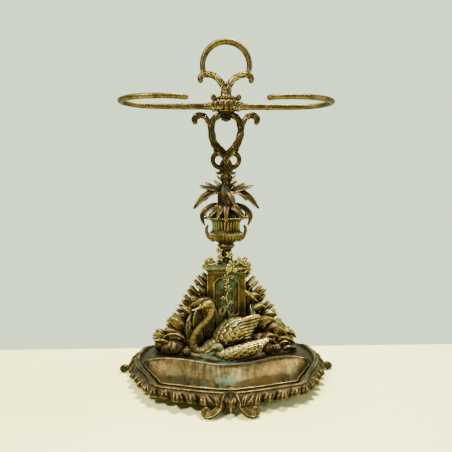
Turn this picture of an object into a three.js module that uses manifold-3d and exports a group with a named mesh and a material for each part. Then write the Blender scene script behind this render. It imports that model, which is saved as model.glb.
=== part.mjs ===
// A cast brass umbrella stand. A leaf-bordered base frame on six feet carries a lift-out drip tray.
// Behind the tray a swan and a cygnet sit on a rock mound, in front of a pedestal and a panel of
// rushes. Above the pedestal stand an urn with an agave, a lyre bracket, a crossbar boss with two
// open ring arms for umbrellas, and a carrying handle.
// Millimetres, +Z up, the front towards -Y. The column's axis is at x = 0, y = 0 while building.
import * as THREE from "three";
import { mergeVertices } from "three/addons/utils/BufferGeometryUtils.js";
import Module from "manifold-3d";

const wasm = await Module();
wasm.setup();

// ---- driving dimensions ----
const GAP = 0.3; // between castings that touch
const BORE_GAP = 0.3; // round a screw, pin or rod in its hole
const BASE_HALF_WIDTH = 229; // column to the side leaf tips
const BASE_FRONT = 262; // column to the front leaf tips
const REAR_LINE = -112; // the base's outlines keep their depth behind this line
const DECK_Z = 37; // top of the base frame's deck
const DECK_THICK = 5;
const LEDGE_WIDTH = 6; // the inner ledge that carries the tray
const LEDGE_DROP = 7;
const LEDGE_THICK = 4;
const BEAD_HEIGHT = 4;
const BORDER_DROP = 17; // deck down to the underside of the leaf tips
const BORDER_THICK = 4;
const LOBES = 26; // leaf lobes round the border
const TRAY_CLEARANCE = 1.5;
const TRAY_DEPTH = 18;
const TRAY_WALL = 3;
const TRAY_LIP = 4.5;
const SCREW_R = 2.5;
const FOOT_BOSS_R = 8;
const FOOT_BOSS_Z = 24; // underside of the bosses that the feet are screwed to
const PEDESTAL_HALF_WIDTH = 46;
const PEDESTAL_DEPTH = 42;
const PEDESTAL_TOP = 231;
const PEDESTAL_WALL = 6;
const PANEL_THICK = 7;
const CAP_HEIGHT = 19;
const CAP_OVERHANG = 8;
const STEM_HEIGHT = 38;
const STEM_R = 14;
const URN_HEIGHT = 73;
const URN_RIM_R = 54;
const URN_FLATNESS = 0.75; // the urn's depth over its width
const AGAVE_HEIGHT = 108;
const STALK_SINK = 5; // the agave's stalk sits this far down in the urn's mouth
const ROD_R = 4;
const ROD_GRIP = 30; // length of the rod in the pedestal
const LYRE_HEIGHT = 148;
const BRIDGE_THICK = 10; // the lyre's top bridge
const STUD_R = 5;
const NUT_R = 13;
const NUT_HEIGHT = 12;
const BOSS_HALF_WIDTH = 43;
const BOSS_HEIGHT = 24;
const ARM_REACH = 241; // column to the outside of a ring arm
const ARM_DEPTH = 122; // crossbar to the front of a ring arm
const ARM_R = 6.3;
const TENON_R = 3.5;
const TENON_LENGTH = 16;
const PIN_R = 1.8;
const COLLAR_HEIGHT = 12;
const YOKE_HEIGHT = 53;
const HANDLE_R = 55; // centre line of the carrying handle
const HANDLE_TUBE_R = 7.4;
const HANDLE_RISE = 14; // from the yoke's seats up to the middle of the handle

// ---- heights stacked from the floor ----
const DECK_UNDER = DECK_Z - DECK_THICK;
const LEDGE_Z = DECK_Z - LEDGE_DROP;
const RELIEF_Z = DECK_Z + GAP;
const CAP_Z = PEDESTAL_TOP + GAP;
const STEM_Z = CAP_Z + CAP_HEIGHT + GAP;
const URN_Z = STEM_Z + STEM_HEIGHT + GAP;
const AGAVE_Z = URN_Z + URN_HEIGHT - STALK_SINK;
const LYRE_Z = AGAVE_Z + AGAVE_HEIGHT + GAP;
const LYRE_TOP = LYRE_Z + LYRE_HEIGHT;
const BOSS_Z = LYRE_TOP + GAP;
const BAR_Z = BOSS_Z + BOSS_HEIGHT * 0.42;
const COLLAR_Z = BOSS_Z + BOSS_HEIGHT + GAP;
const YOKE_Z = COLLAR_Z + COLLAR_HEIGHT + GAP;
const SEAT_Z = YOKE_Z + YOKE_HEIGHT;
const HANDLE_Z = SEAT_Z + GAP + HANDLE_RISE;

// ---- how far each group is stretched from the sizes its shapes are drawn at ----
const wide = BASE_HALF_WIDTH / 229;
const deep = (BASE_FRONT + REAR_LINE) / 150;
const tall = (PEDESTAL_TOP - RELIEF_Z) / 194;
const spread = URN_RIM_R / 54;
const reach = HANDLE_R / 55;

// ---- materials ----
const metal = (color, roughness) => new THREE.MeshStandardMaterial({ color, roughness, metalness: 1 });
const materials = {
  casting: () => metal(0x8a6a2c, 0.42),
  tray: () => metal(0x7a5a30, 0.55),
  fixing: () => metal(0x5a5650, 0.5),
};

const stand = new THREE.Group();

// ---- solids from geometry, and back ----
function solid(geometry) {
  const bare = new THREE.BufferGeometry();
  bare.setAttribute("position", geometry.getAttribute("position"));
  if (geometry.index) bare.setIndex(geometry.index);
  const merged = mergeVertices(bare, 1e-3);
  const triVerts = new Uint32Array(merged.index.array);
  const vertProperties = new Float32Array(merged.attributes.position.array);
  const made = new wasm.Manifold(new wasm.Mesh({ numProp: 3, vertProperties, triVerts }));
  if (made.volume() > 0) return made;
  for (let i = 0; i < triVerts.length; i += 3) {
    [triVerts[i + 1], triVerts[i + 2]] = [triVerts[i + 2], triVerts[i + 1]];
  }
  return new wasm.Manifold(new wasm.Mesh({ numProp: 3, vertProperties, triVerts }));
}

function geometryOf(made) {
  const { vertProperties, numProp, triVerts, numVert } = made.getMesh();
  const position = new Float32Array(numVert * 3);
  for (let i = 0; i < numVert; i++) {
    position.set(vertProperties.subarray(i * numProp, i * numProp + 3), i * 3);
  }
  const geometry = new THREE.BufferGeometry();
  geometry.setAttribute("position", new THREE.BufferAttribute(position, 3));
  geometry.setIndex(new THREE.BufferAttribute(new Uint32Array(triVerts), 1));
  geometry.computeVertexNormals();
  return geometry;
}

function add(name, made, kind = "casting") {
  const mesh = new THREE.Mesh(geometryOf(made), materials[kind]());
  mesh.name = name;
  stand.add(mesh);
}

const join = (...solids) => solids.reduce((all, next) => all.add(next));
const cut = (from, ...tools) => tools.reduce((left, tool) => left.subtract(tool), from);

// ---- shapes ----
const v = (x, y, z) => new THREE.Vector3(x, y, z);
const at = (point, z) => v(point.x, point.y, z);
const ALONG_X = v(1, 0, 0);
const ALONG_Y = v(0, 1, 0);
const ALONG_Z = v(0, 0, 1);

// A closed skin through rings of points. Its ends are flat caps, or it closes on its first ring.
function skin(rings, closesOnItself = false) {
  const count = rings[0].length;
  const points = rings.flat();
  const index = [];
  const spans = closesOnItself ? rings.length : rings.length - 1;
  for (let i = 0; i < spans; i++) {
    const here = i * count;
    const next = ((i + 1) % rings.length) * count;
    for (let k = 0; k < count; k++) {
      const l = (k + 1) % count;
      index.push(here + k, here + l, next + l, here + k, next + l, next + k);
    }
  }
  const ends = closesOnItself ? [] : [[0, true], [(rings.length - 1) * count, false]];
  for (const [first, flip] of ends) {
    const ring = points.slice(first, first + count);
    const turns = ring.map((p, k) => p.clone().cross(ring[(k + 1) % count]));
    const normal = turns.reduce((sum, turn) => sum.add(turn), v(0, 0, 0)).normalize();
    const across = (Math.abs(normal.z) > 0.9 ? ALONG_X : ALONG_Z).clone().cross(normal).normalize();
    const up = normal.clone().cross(across);
    const flat = ring.map((p) => new THREE.Vector2(p.dot(across), p.dot(up)));
    for (const face of THREE.ShapeUtils.triangulateShape(flat, [])) {
      const corners = face.map((k) => first + k);
      index.push(...(flip ? corners.reverse() : corners));
    }
  }
  const geometry = new THREE.BufferGeometry().setFromPoints(points);
  geometry.setIndex(index);
  return solid(geometry);
}

// A tapering limb along a smooth path. widths are half sizes along the side axis, spread evenly over
// the path, and thick is the half thickness over the half width.
function limb(path, widths, { side = ALONG_Y, thick = 1, sides = 6, steps = 8, grow = 0 } = {}) {
  const curve = new THREE.CatmullRomCurve3(path);
  const rings = [];
  for (let i = 0; i <= steps; i++) {
    const t = i / steps;
    const centre = curve.getPointAt(t);
    const normal = curve.getTangentAt(t).cross(side).normalize();
    const place = t * (widths.length - 1);
    const low = Math.min(Math.floor(place), widths.length - 2);
    const half = THREE.MathUtils.lerp(widths[low], widths[low + 1], place - low);
    const ring = [];
    for (let k = 0; k < sides; k++) {
      const a = (2 * Math.PI * k) / sides;
      const point = centre.clone();
      point.addScaledVector(side, (half + grow) * Math.cos(a));
      point.addScaledVector(normal, (half * thick + grow) * Math.sin(a));
      ring.push(point);
    }
    rings.push(ring);
  }
  return skin(rings);
}

function rod(radius, from, to, sides = 12) {
  const axis = to.clone().sub(from);
  const cylinder = new THREE.CylinderGeometry(radius, radius, axis.length(), sides);
  cylinder.applyQuaternion(new THREE.Quaternion().setFromUnitVectors(ALONG_Y, axis.normalize()));
  const middle = from.clone().lerp(to, 0.5);
  return solid(cylinder.translate(middle.x, middle.y, middle.z));
}

const upright = (radius, x, y, low, high, sides = 12) => rod(radius, v(x, y, low), v(x, y, high), sides);

function ball(centre, rx, ry, rz) {
  const sphere = new THREE.IcosahedronGeometry(1, 1).scale(rx, ry, rz);
  return solid(sphere.translate(centre.x, centre.y, centre.z));
}

function block(low, high) {
  const size = high.clone().sub(low);
  const middle = low.clone().lerp(high, 0.5);
  return solid(new THREE.BoxGeometry(size.x, size.y, size.z).translate(middle.x, middle.y, middle.z));
}

// A turned shape round the column's axis, from (radius, height) pairs that start and end on it.
function turned(profile, { depth = 1, sides = 16 } = {}) {
  const points = profile.map(([radius, z]) => new THREE.Vector2(radius, z));
  const geometry = new THREE.LatheGeometry(points, sides);
  return solid(geometry.rotateX(Math.PI / 2).scale(1, depth, 1));
}

// A flat plate across the front, from the y of its back face forwards.
function plate(outline, back, thick) {
  const shape = new THREE.Shape(outline.map(([x, z]) => new THREE.Vector2(x, z)));
  const geometry = new THREE.ExtrudeGeometry(shape, { depth: thick, bevelEnabled: false });
  return solid(geometry.rotateX(Math.PI / 2).translate(0, back, 0));
}

const mirrored = (path) => path.map((p) => v(-p.x, p.y, p.z));
const bothSides = (path, make) => join(make(path), make(mirrored(path)));
const symmetric = (right) => [...right, ...right.map(([x, z]) => [-x, z]).reverse()];

// ---- base outlines: the right half from the rear middle to the front middle, then its mirror ----
function outline(half) {
  const right = half.map(([x, y]) => v(x * wide, y > REAR_LINE ? y : REAR_LINE + (y - REAR_LINE) * deep, 0));
  const back = mirrored(right.slice(1, -1)).reverse();
  return new THREE.CatmullRomCurve3([...right, ...back], true, "centripetal");
}
const trayOpening = outline([
  [0, -105], [28, -101], [62, -87], [104, -71], [152, -64], [184, -76], [190, -104], [172, -143],
  [151, -178], [145, -192], [101, -206], [52, -219], [0, -227],
]);
const beadLine = outline([
  [0, 30], [60, 30], [120, 30], [172, 22], [196, -8], [205, -40], [205, -78], [194, -116],
  [174, -156], [156, -202], [110, -218], [58, -231], [0, -241],
]);
const leafLine = outline([
  [0, 34], [62, 34], [124, 34], [180, 30], [214, 0], [227, -36], [229, -76], [221, -112],
  [204, -152], [172, -203], [126, -232], [64, -252], [0, -262],
]);
const trayFloor = outline([
  [0, -150], [20, -146], [48, -136], [82, -124], [118, -116], [140, -118], [144, -130], [136, -146],
  [124, -158], [116, -166], [82, -176], [42, -186], [0, -190],
]);
const SECTIONS = LOBES * 2; // shared by the frame and the tray, so that their facets line up

// A point of an outline, moved in towards the middle of the base.
function inward(curve, u, distance) {
  const tangent = curve.getTangent(u);
  return curve.getPoint(u).add(v(-tangent.y, tangent.x, 0).normalize().multiplyScalar(-distance));
}

function frameRing() {
  const rings = [];
  for (let i = 0; i < SECTIONS; i++) {
    const u = i / SECTIONS;
    const ledge = inward(trayOpening, u, LEDGE_WIDTH);
    const opening = trayOpening.getPoint(u);
    const bead = beadLine.getPoint(u);
    const tip = leafLine.getPoint(u);
    const front = bead.y < 0;
    const edge = bead.clone().lerp(tip, front && i % 2 ? 0.78 : 1);
    const crest = DECK_Z + (front ? BEAD_HEIGHT : 0);
    const tipZ = DECK_Z - BORDER_DROP;
    rings.push([
      at(ledge, LEDGE_Z),
      at(opening, LEDGE_Z),
      at(opening, DECK_Z),
      at(bead.clone().lerp(opening, 5 / bead.distanceTo(opening)), DECK_Z),
      at(bead, crest),
      at(bead.clone().lerp(edge, 0.3), DECK_Z - 1),
      at(edge, tipZ + BORDER_THICK),
      at(edge.clone().lerp(bead, 0.1), tipZ),
      at(bead.clone().lerp(edge, 0.3), DECK_UNDER),
      at(opening.clone().lerp(bead, 4 / bead.distanceTo(opening)), DECK_UNDER),
      at(opening, LEDGE_Z - LEDGE_THICK),
      at(ledge, LEDGE_Z - LEDGE_THICK),
    ]);
  }
  return skin(rings, true);
}

function dripTray() {
  const rimZ = LEDGE_Z + GAP;
  const floorZ = rimZ - TRAY_DEPTH;
  const wallIn = LEDGE_WIDTH + TRAY_CLEARANCE;
  const ring = (share, distance, z) =>
    Array.from({ length: SECTIONS }, (_, i) => {
      const u = i / SECTIONS;
      return at(inward(trayOpening, u, distance).lerp(trayFloor.getPoint(u), share), z);
    });
  return skin([
    ring(1, 0, floorZ),
    ring(0.5, wallIn, floorZ + 5),
    ring(0, wallIn, rimZ),
    ring(0, TRAY_CLEARANCE, rimZ),
    ring(0, TRAY_CLEARANCE, rimZ + TRAY_LIP),
    ring(0, TRAY_CLEARANCE + 2.5, rimZ + TRAY_LIP),
    ring(0, wallIn + TRAY_WALL, rimZ),
    ring(0.5, wallIn + TRAY_WALL, floorZ + 5 + TRAY_WALL),
    ring(0.97, wallIn, floorZ + TRAY_WALL),
  ]);
}

// ---- screws: a head and a shank, and the holes for them ----
function screw({ x, y, low, high }) {
  return join(upright(SCREW_R, x, y, low + 1, high, 8), upright(SCREW_R * 1.8, x, y, low, low + 2.5, 8));
}
const shankHole = ({ x, y, low, high }) => upright(SCREW_R + BORE_GAP, x, y, low + 1, high + 0.5, 8);
const headHole = ({ x, y, low }) => upright(SCREW_R * 1.8 + BORE_GAP, x, y, low - 40, low + 2.5 + GAP, 8);

// ---- feet ----
const frontFoot = { x: 22, y: REAR_LINE - 122 * deep };
const sideFoot = { x: 205 * wide, y: -60 };
const rearFoot = { x: 150 * wide, y: 4 };
const padTop = FOOT_BOSS_Z - GAP;

function makeFrontFoot({ x, y }, sign) {
  const leg = limb(
    [v(sign * x, y, 16), v(sign * (x + 8), y - 9, 14), v(sign * (x + 18), y - 18, 10), v(sign * (x + 27), y - 25, 7)],
    [9, 8, 7, 6],
    { side: v(0.7 * sign, 0.7, 0), thick: 0.75, steps: 5 },
  );
  const toe = ball(v(sign * (x + 29), y - 27, 7), 9, 8, 7);
  return join(leg, toe, upright(8, sign * x, y, 11, padTop));
}

function makeSideFoot({ x, y }, sign) {
  const leg = limb(
    [v(sign * (x - 4), y, 14), v(sign * (x + 10), y, 12), v(sign * (x + 24), y, 9), v(sign * (x + 34), y, 7.5)],
    [8, 7.5, 7, 6.5],
    { thick: 0.9, steps: 5 },
  );
  const toe = ball(v(sign * (x + 37), y, 7.5), 9, 8, 7.5);
  return join(leg, toe, upright(8, sign * x, y, 11, padTop));
}

function makeRearFoot({ x, y }, sign) {
  return join(upright(9, sign * x, y, 0, 8), upright(7, sign * x, y, 6, padTop));
}

const feet = { front: [frontFoot, makeFrontFoot], side: [sideFoot, makeSideFoot], rear: [rearFoot, makeRearFoot] };
let frame = frameRing();
for (const [side, sign] of [["left", -1], ["right", 1]]) {
  for (const [place, [foot, make]] of Object.entries(feet)) {
    const fixing = { x: sign * foot.x, y: foot.y, low: 13, high: DECK_Z - 3 };
    const boss = upright(FOOT_BOSS_R, fixing.x, fixing.y, FOOT_BOSS_Z, DECK_Z - 4);
    frame = cut(join(frame, boss), shankHole(fixing));
    add(`${place}_foot_${side}`, cut(make(foot, sign), shankHole(fixing), headHole(fixing)));
    add(`${place}_foot_screw_${side}`, screw(fixing), "fixing");
  }
}

// ---- what is screwed down on the deck ----
const panelBack = PEDESTAL_DEPTH / 2 + GAP + PANEL_THICK;
const panelFront = panelBack - PANEL_THICK;
const fixings = {
  swan_screw: { x: 8, y: -52, high: 84 },
  cygnet_screw: { x: 24, y: -78, high: 58 },
  rock_screw_left: { x: -118 * wide, y: -30, high: 54 },
  rock_screw_right: { x: 118 * wide, y: -30, high: 54 },
  panel_screw_left: { x: -128 * wide, y: panelBack - PANEL_THICK / 2, high: 56 },
  panel_screw_right: { x: 128 * wide, y: panelBack - PANEL_THICK / 2, high: 56 },
};
for (const [name, fixing] of Object.entries(fixings)) {
  fixing.low = DECK_UNDER - GAP - 2.5;
  add(name, screw(fixing), "fixing");
}
const fixingHoles = Object.values(fixings).map(shankHole);
add("base_frame", cut(frame, ...fixingHoles));
add("drip_tray", dripTray(), "tray");

// Two bolts hold the panel of rushes against the pedestal's back.
const bolts = { lower: RELIEF_Z + 86 * tall, upper: RELIEF_Z + 160 * tall };
const bolt = (z, grow) =>
  join(
    rod(SCREW_R + grow, v(0, panelBack + 1, z), v(0, panelFront - 15 - grow, z)),
    rod(SCREW_R * 2 + grow, v(0, panelBack + 3, z), v(0, panelBack + GAP - grow, z)),
  );
const boltHoles = Object.values(bolts).map((z) => rod(SCREW_R + BORE_GAP, v(0, 60, z), v(0, panelFront - 16, z)));
for (const [place, z] of Object.entries(bolts)) add(`pedestal_bolt_${place}`, bolt(z, 0), "fixing");

function reedPanel() {
  const blades = [
    [160, 0], [184, 18], [168, 26], [156, 44], [142, 40], [150, 62], [136, 58], [138, 82], [124, 76],
    [128, 98], [114, 94], [116, 122], [102, 116], [106, 142], [92, 136], [92, 158], [78, 154], [76, 174],
    [62, 168], [58, 180],
  ];
  return plate(symmetric(blades.map(([x, up]) => [x * wide, RELIEF_Z + up * tall])), panelBack, PANEL_THICK);
}
add("reed_panel", cut(reedPanel(), ...fixingHoles, ...boltHoles));

// The column's rod holds the lyre, agave, urn, stem and cap down on the pedestal.
const rodLow = PEDESTAL_TOP - ROD_GRIP;
const rodHigh = LYRE_Z + 24;
const rodHole = upright(ROD_R + BORE_GAP, 0, 0, rodLow, rodHigh + 0.5);
add("column_rod", upright(ROD_R, 0, 0, rodLow + 0.5, rodHigh), "fixing");

function pedestal() {
  const back = PEDESTAL_DEPTH / 2;
  const half = PEDESTAL_HALF_WIDTH;
  const side = [[half + 8, RELIEF_Z], [half + 8, RELIEF_Z + 60 * tall], [half, RELIEF_Z + 80 * tall], [half, PEDESTAL_TOP]];
  const nicheFoot = RELIEF_Z + 52 * tall;
  const top = PEDESTAL_TOP - 18;
  const niche = [
    [half - 18, nicheFoot], [half - 18, top - 16], [half - 25, top - 9], [half - 25, top],
  ];
  const pocket = (low, high) => {
    const inside = half - PEDESTAL_WALL;
    return block(v(-inside, PEDESTAL_WALL + 5 - back, low), v(inside, back + 1, high));
  };
  return cut(
    plate(symmetric(side), back, PEDESTAL_DEPTH),
    plate(symmetric(niche), 4 - back, 8),
    pocket(RELIEF_Z + 8, bolts.lower - 10),
    pocket(bolts.lower + 10, Math.min(bolts.upper - 10, rodLow - 8)),
  );
}
const pedestalRoom = block(
  v(-PEDESTAL_HALF_WIDTH - 8 - GAP, -PEDESTAL_DEPTH / 2 - GAP, RELIEF_Z - 1),
  v(PEDESTAL_HALF_WIDTH + 8 + GAP, 60, PEDESTAL_TOP + 50),
);
add("pedestal", cut(pedestal(), rodHole, ...boltHoles));

function swan(grow = 0) {
  const y = -51;
  const soft = { grow, thick: 0.9 };
  const neck = [[-30, 62], [-56, 51], [-76, 57], [-79, 80], [-60, 106], [-38, 130], [-32, 152]];
  const tail = [[40, 108], [62, 122], [82, 136]];
  const beak = [[-50, 155], [-66, 151], [-79, 148]];
  const path = (points) => points.map(([x, z]) => v(x, y, z));
  return join(
    ball(v(30, y + 1, 97), 50 + grow, 18 + grow, 33 + grow),
    ball(v(-14, y, 74), 26 + grow, 17 + grow, 25 + grow),
    ball(v(-42, y, 157), 15 + grow, 9 + grow, 10 + grow),
    limb(path(neck), [12, 10, 8.5, 8, 7.5, 7, 7], { ...soft, steps: 12 }),
    limb(path(tail), [16, 11, 4], { ...soft, steps: 3 }),
    limb(path(beak), [6, 4, 3], { ...soft, steps: 2 }),
  );
}

function cygnet(grow = 0) {
  const y = -80;
  const body = [v(-16, y, 53), v(10, y, 52), v(40, y + 5, 58), v(70, y + 15, 73), v(96, y + 26, 91)];
  const beak = [v(-28, y, 63), v(-40, y, 58), v(-48, y, 56)];
  return join(
    limb(body, [9, 13, 12, 9, 3], { grow, steps: 7, thick: 1.1 }),
    limb(beak, [5, 4, 2], { grow, steps: 2, thick: 0.8 }),
    ball(v(-22, y, 64), 13 + grow, 8 + grow, 9 + grow),
  );
}

function rockMound() {
  const steps = 16;
  const front = [
    [-172, -10], [-150, -46], [-100, -58], [-60, -74], [-20, -92], [20, -94], [60, -77], [100, -58],
    [150, -46], [172, -10],
  ];
  const edge = new THREE.CatmullRomCurve3(front.map(([x, y]) => v(x * wide, y, 0)));
  const back = panelFront - GAP;
  const layer = (share, up) => {
    const z = RELIEF_Z + up * tall;
    const ring = [];
    for (let i = 0; i < steps; i++) {
      const p = edge.getPoint(i / (steps - 1));
      ring.push(v(p.x * (1 - 0.25 * share), back + (p.y - back) * (1 - share), z));
    }
    return [...ring, v(ring.at(-1).x, back, z), v(ring[0].x, back, z)];
  };
  // Rocks and clumps of leaves: middle, then half sizes.
  const lumps = [
    [-164, -14, 66, 20, 12, 16], [-122, -30, 58, 30, 20, 26], [-134, -5, 90, 26, 14, 24],
    [122, -30, 58, 28, 20, 26], [156, -14, 60, 20, 12, 18], [130, -5, 86, 24, 14, 22],
  ];
  const mound = skin([layer(0, 0), layer(0.02, 6), layer(0.3, 22), layer(0.62, 38)]);
  const rocks = lumps.map(([x, y, z, rx, ry, rz]) => ball(v(x * wide, y, RELIEF_Z + (z - RELIEF_Z) * tall), rx, ry, rz));
  const deck = block(v(-400, -400, -50), v(400, 400, RELIEF_Z));
  const behind = block(v(-400, back, -50), v(400, 400, 500));
  return cut(join(mound, ...rocks), deck, behind);
}
const birdGap = GAP + 0.1;
const belowRelief = block(v(-400, -400, -50), v(400, 400, RELIEF_Z));
add("rock_mound", cut(rockMound(), pedestalRoom, swan(birdGap), cygnet(birdGap), ...fixingHoles));
add("swan", cut(swan(), pedestalRoom, cygnet(birdGap), belowRelief, ...fixingHoles));
add("cygnet", cut(cygnet(), belowRelief, ...fixingHoles));

// ---- column: cap, fluted stem, urn and agave ----
function cap() {
  const tier = (grow, up) => {
    const x = PEDESTAL_HALF_WIDTH + CAP_OVERHANG + grow;
    const y = PEDESTAL_DEPTH / 2 + CAP_OVERHANG + grow;
    const z = CAP_Z + up;
    return [v(x, y, z), v(-x, y, z), v(-x, -y, z), v(x, -y, z)];
  };
  return skin([tier(-8, 0), tier(-2, 5), tier(0, 7), tier(0, 12), tier(-3, 13), tier(-6, CAP_HEIGHT)]);
}
add("pedestal_cap", cut(cap(), rodHole));

function stem() {
  const top = STEM_Z + STEM_HEIGHT;
  return turned([
    [0, STEM_Z], [STEM_R + 9, STEM_Z], [STEM_R + 9, STEM_Z + 3], [STEM_R + 2, STEM_Z + 8],
    [STEM_R, STEM_Z + 14], [STEM_R, top - 4], [STEM_R + 4, top], [0, top],
  ]);
}
add("urn_stem", cut(stem(), rodHole));

const mouthZ = URN_Z + URN_HEIGHT;
const mouthFloor = AGAVE_Z - GAP;
function urn() {
  const z = URN_Z;
  const body = turned(
    [
      [0, z], [20, z], [22, z + 3], [22, z + 6], [17, z + 9], [24, z + 13], [34, z + 22], [39, z + 34],
      [40, z + 38], [36, z + 41], [34, z + 52], [36, z + 61], [URN_RIM_R, mouthZ - 3], [URN_RIM_R, mouthZ],
      [URN_RIM_R - 8, mouthZ], [30, mouthFloor], [0, mouthFloor],
    ],
    { depth: URN_FLATNESS, sides: 20 },
  );
  const handle = [[28, 15], [42, 24], [49, 40], [46, 52], [41, 49], [37, 37]];
  return join(body, bothSides(handle.map(([x, up]) => v(x, 0, z + up)), (path) => limb(path, [3, 2.6, 2.2, 2])));
}
add("urn", cut(urn(), rodHole));

function agave() {
  const z = AGAVE_Z;
  const heart = z + 68;
  const top = z + AGAVE_HEIGHT;
  const stalk = turned(
    [[0, z], [18, z], [20, z + 4], [15, z + 24], [13, z + 44], [17, z + 62], [12, z + 84], [9, top], [0, top]],
    { sides: 12 },
  );
  // Leaves on both sides: a point on the way and the tip, across, back and above the heart.
  const leaves = [
    [[26, -8, 10], [54, -16, 24], 8], [[34, 6, 4], [66, 14, 16], 8], [[14, -8, 20], [27, -14, 38], 7],
    [[42, -12, -4], [79, -24, -42], 9], [[44, -4, -20], [60, -12, -86], 8], [[24, -30, -14], [36, -46, -50], 8],
    [[26, 16, -4], [50, 24, -38], 8], [[12, 12, 14], [24, 18, 34], 7],
  ];
  // Leaves on the middle line.
  const middle = [[[0, -14, 16], [0, -26, 46], 7], [[0, -34, -18], [0, -50, -76], 8], [[0, 22, -4], [0, 32, -44], 8]];
  const leaf = ([bend, tip, half], sign) => {
    const point = ([x, y, up]) => v(sign * x * spread, y * spread, heart + up);
    const out = point(tip);
    const side = v(-out.y, out.x, 0).normalize();
    const path = [v(0, 0, heart - 4), point(bend), point(tip)];
    return limb(path, [half * 0.7, half, half * 0.8, 1], { side, thick: 0.7, sides: 4, steps: 4 });
  };
  const grown = [...leaves.flatMap((entry) => [leaf(entry, 1), leaf(entry, -1)]), ...middle.map((entry) => leaf(entry, 1))];
  return join(stalk, ...grown);
}
const urnRoom = turned(
  [
    [0, URN_Z], [38, URN_Z], [39, mouthZ - 12], [URN_RIM_R + GAP, mouthZ - 3.3], [URN_RIM_R + GAP, mouthZ + GAP],
    [URN_RIM_R - 8, mouthZ + GAP], [30, AGAVE_Z], [0, AGAVE_Z],
  ],
  { depth: URN_FLATNESS + 0.01, sides: 20 },
);
add("agave", cut(agave(), rodHole, urnRoom));

// ---- lyre bracket, held with the boss, collar and yoke by the handle's stud and a nut ----
const nutTop = LYRE_TOP - BRIDGE_THICK - GAP;
const studLow = nutTop - NUT_HEIGHT - 2;
const studHigh = YOKE_Z + 22;
const studHole = upright(STUD_R + BORE_GAP, 0, 0, studLow - 1, studHigh + 0.5);
add("handle_stud", upright(STUD_R, 0, 0, studLow, studHigh), "fixing");
add("hub_nut", cut(upright(NUT_R, 0, 0, nutTop - NUT_HEIGHT, nutTop, 6), studHole), "fixing");

function lyre() {
  const stretch = LYRE_HEIGHT / 148;
  const path = (points) => points.map(([x, up]) => v(x, 0, LYRE_Z + up * stretch));
  const arm = [[3, 38], [16, 57], [29, 75], [34, 95], [34, 115], [28, 129], [14, 138]];
  const scroll = [[36, 106], [44, 125], [57, 135], [70, 132], [73, 122]];
  const ring = [[8, 44], [22, 50], [33, 42], [34, 28], [26, 15], [8, 10]];
  const strut = [[2, 36], [9, 24], [12, 10]];
  const bridge = LYRE_TOP - BRIDGE_THICK;
  return join(
    bothSides(path(arm), (side) => limb(side, [6.5, 7.5, 8.5, 8.5, 8.5, 8, 8], { steps: 10 })),
    bothSides(path(scroll), (side) => limb(side, [6.5, 6, 6, 7, 7], { steps: 6 })),
    bothSides(path(ring), (side) => limb(side, [4.5, 4, 3.6, 3.6, 4, 5], { steps: 8 })),
    bothSides(path(strut), (side) => limb(side, [5, 4.5, 4], { sides: 4, steps: 3 })),
    turned([[0, LYRE_Z], [9, LYRE_Z], [9, LYRE_Z + 30], [7, LYRE_Z + 42], [0, LYRE_Z + 44]], { sides: 12 }),
    turned([[0, bridge], [17, bridge], [24, LYRE_TOP], [0, LYRE_TOP]]),
  );
}
const nutRoom = upright(NUT_R + 1, 0, 0, studLow - 1, LYRE_TOP - BRIDGE_THICK);
const aboveLyre = block(v(-100, -60, LYRE_TOP), v(100, 60, LYRE_TOP + 40));
add("lyre_bracket", cut(lyre(), rodHole, studHole, nutRoom, aboveLyre));

// ---- crossbar: a boss with a ring arm tenoned and pinned into each end ----
function boss() {
  const corners = [[1, 0.5], [0.7, 1], [-0.7, 1], [-1, 0.5], [-1, -0.5], [-0.7, -1], [0.7, -1], [1, -0.5]];
  const tier = (half, depth, up) => corners.map(([sx, sy]) => v(sx * half, sy * depth, BOSS_Z + up * BOSS_HEIGHT));
  const w = BOSS_HALF_WIDTH;
  return skin([tier(w - 14, 13, 0), tier(w, 17, 0.17), tier(w, 19, 0.6), tier(w - 6, 17, 0.8), tier(w - 13, 14, 1)]);
}
function tenon(sign, grow) {
  const outer = v(sign * (BOSS_HALF_WIDTH + 3), 0, BAR_Z);
  return rod(TENON_R + grow, outer, v(sign * (BOSS_HALF_WIDTH - TENON_LENGTH - grow), 0, BAR_Z));
}
function armPin(sign, grow) {
  const x = sign * (BOSS_HALF_WIDTH - TENON_LENGTH / 2);
  return rod(PIN_R + grow, v(x, -14 - grow, BAR_Z), v(x, 14 + grow, BAR_Z), 8);
}
function ringArm(sign) {
  const out = ARM_REACH - ARM_R;
  const front = -ARM_DEPTH;
  const path = [
    [BOSS_HALF_WIDTH + GAP, 0], [90, 0], [145, 1], [out - 40, -8], [out - 9, -34], [out, -66],
    [out - 22, front + 24], [out - 62, front + 4], [out - 108, front], [100, front + 6], [87, front + 13],
  ];
  const bar = limb(
    path.map(([x, y]) => v(sign * x, y, BAR_Z)),
    [5.4, 6.2, ARM_R, ARM_R, ARM_R, ARM_R, ARM_R, 6, 5],
    { side: ALONG_Z, thick: 0.85, sides: 8, steps: 24 },
  );
  return join(bar, tenon(sign, 0));
}
const armSigns = { left: -1, right: 1 };
const armRooms = Object.values(armSigns).flatMap((sign) => [tenon(sign, BORE_GAP), armPin(sign, BORE_GAP)]);
add("crossbar_boss", cut(boss(), ...armRooms, studHole));
for (const [side, sign] of Object.entries(armSigns)) {
  add(`ring_arm_${side}`, cut(ringArm(sign), armPin(sign, BORE_GAP)));
  add(`arm_pin_${side}`, armPin(sign, 0), "fixing");
}

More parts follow.
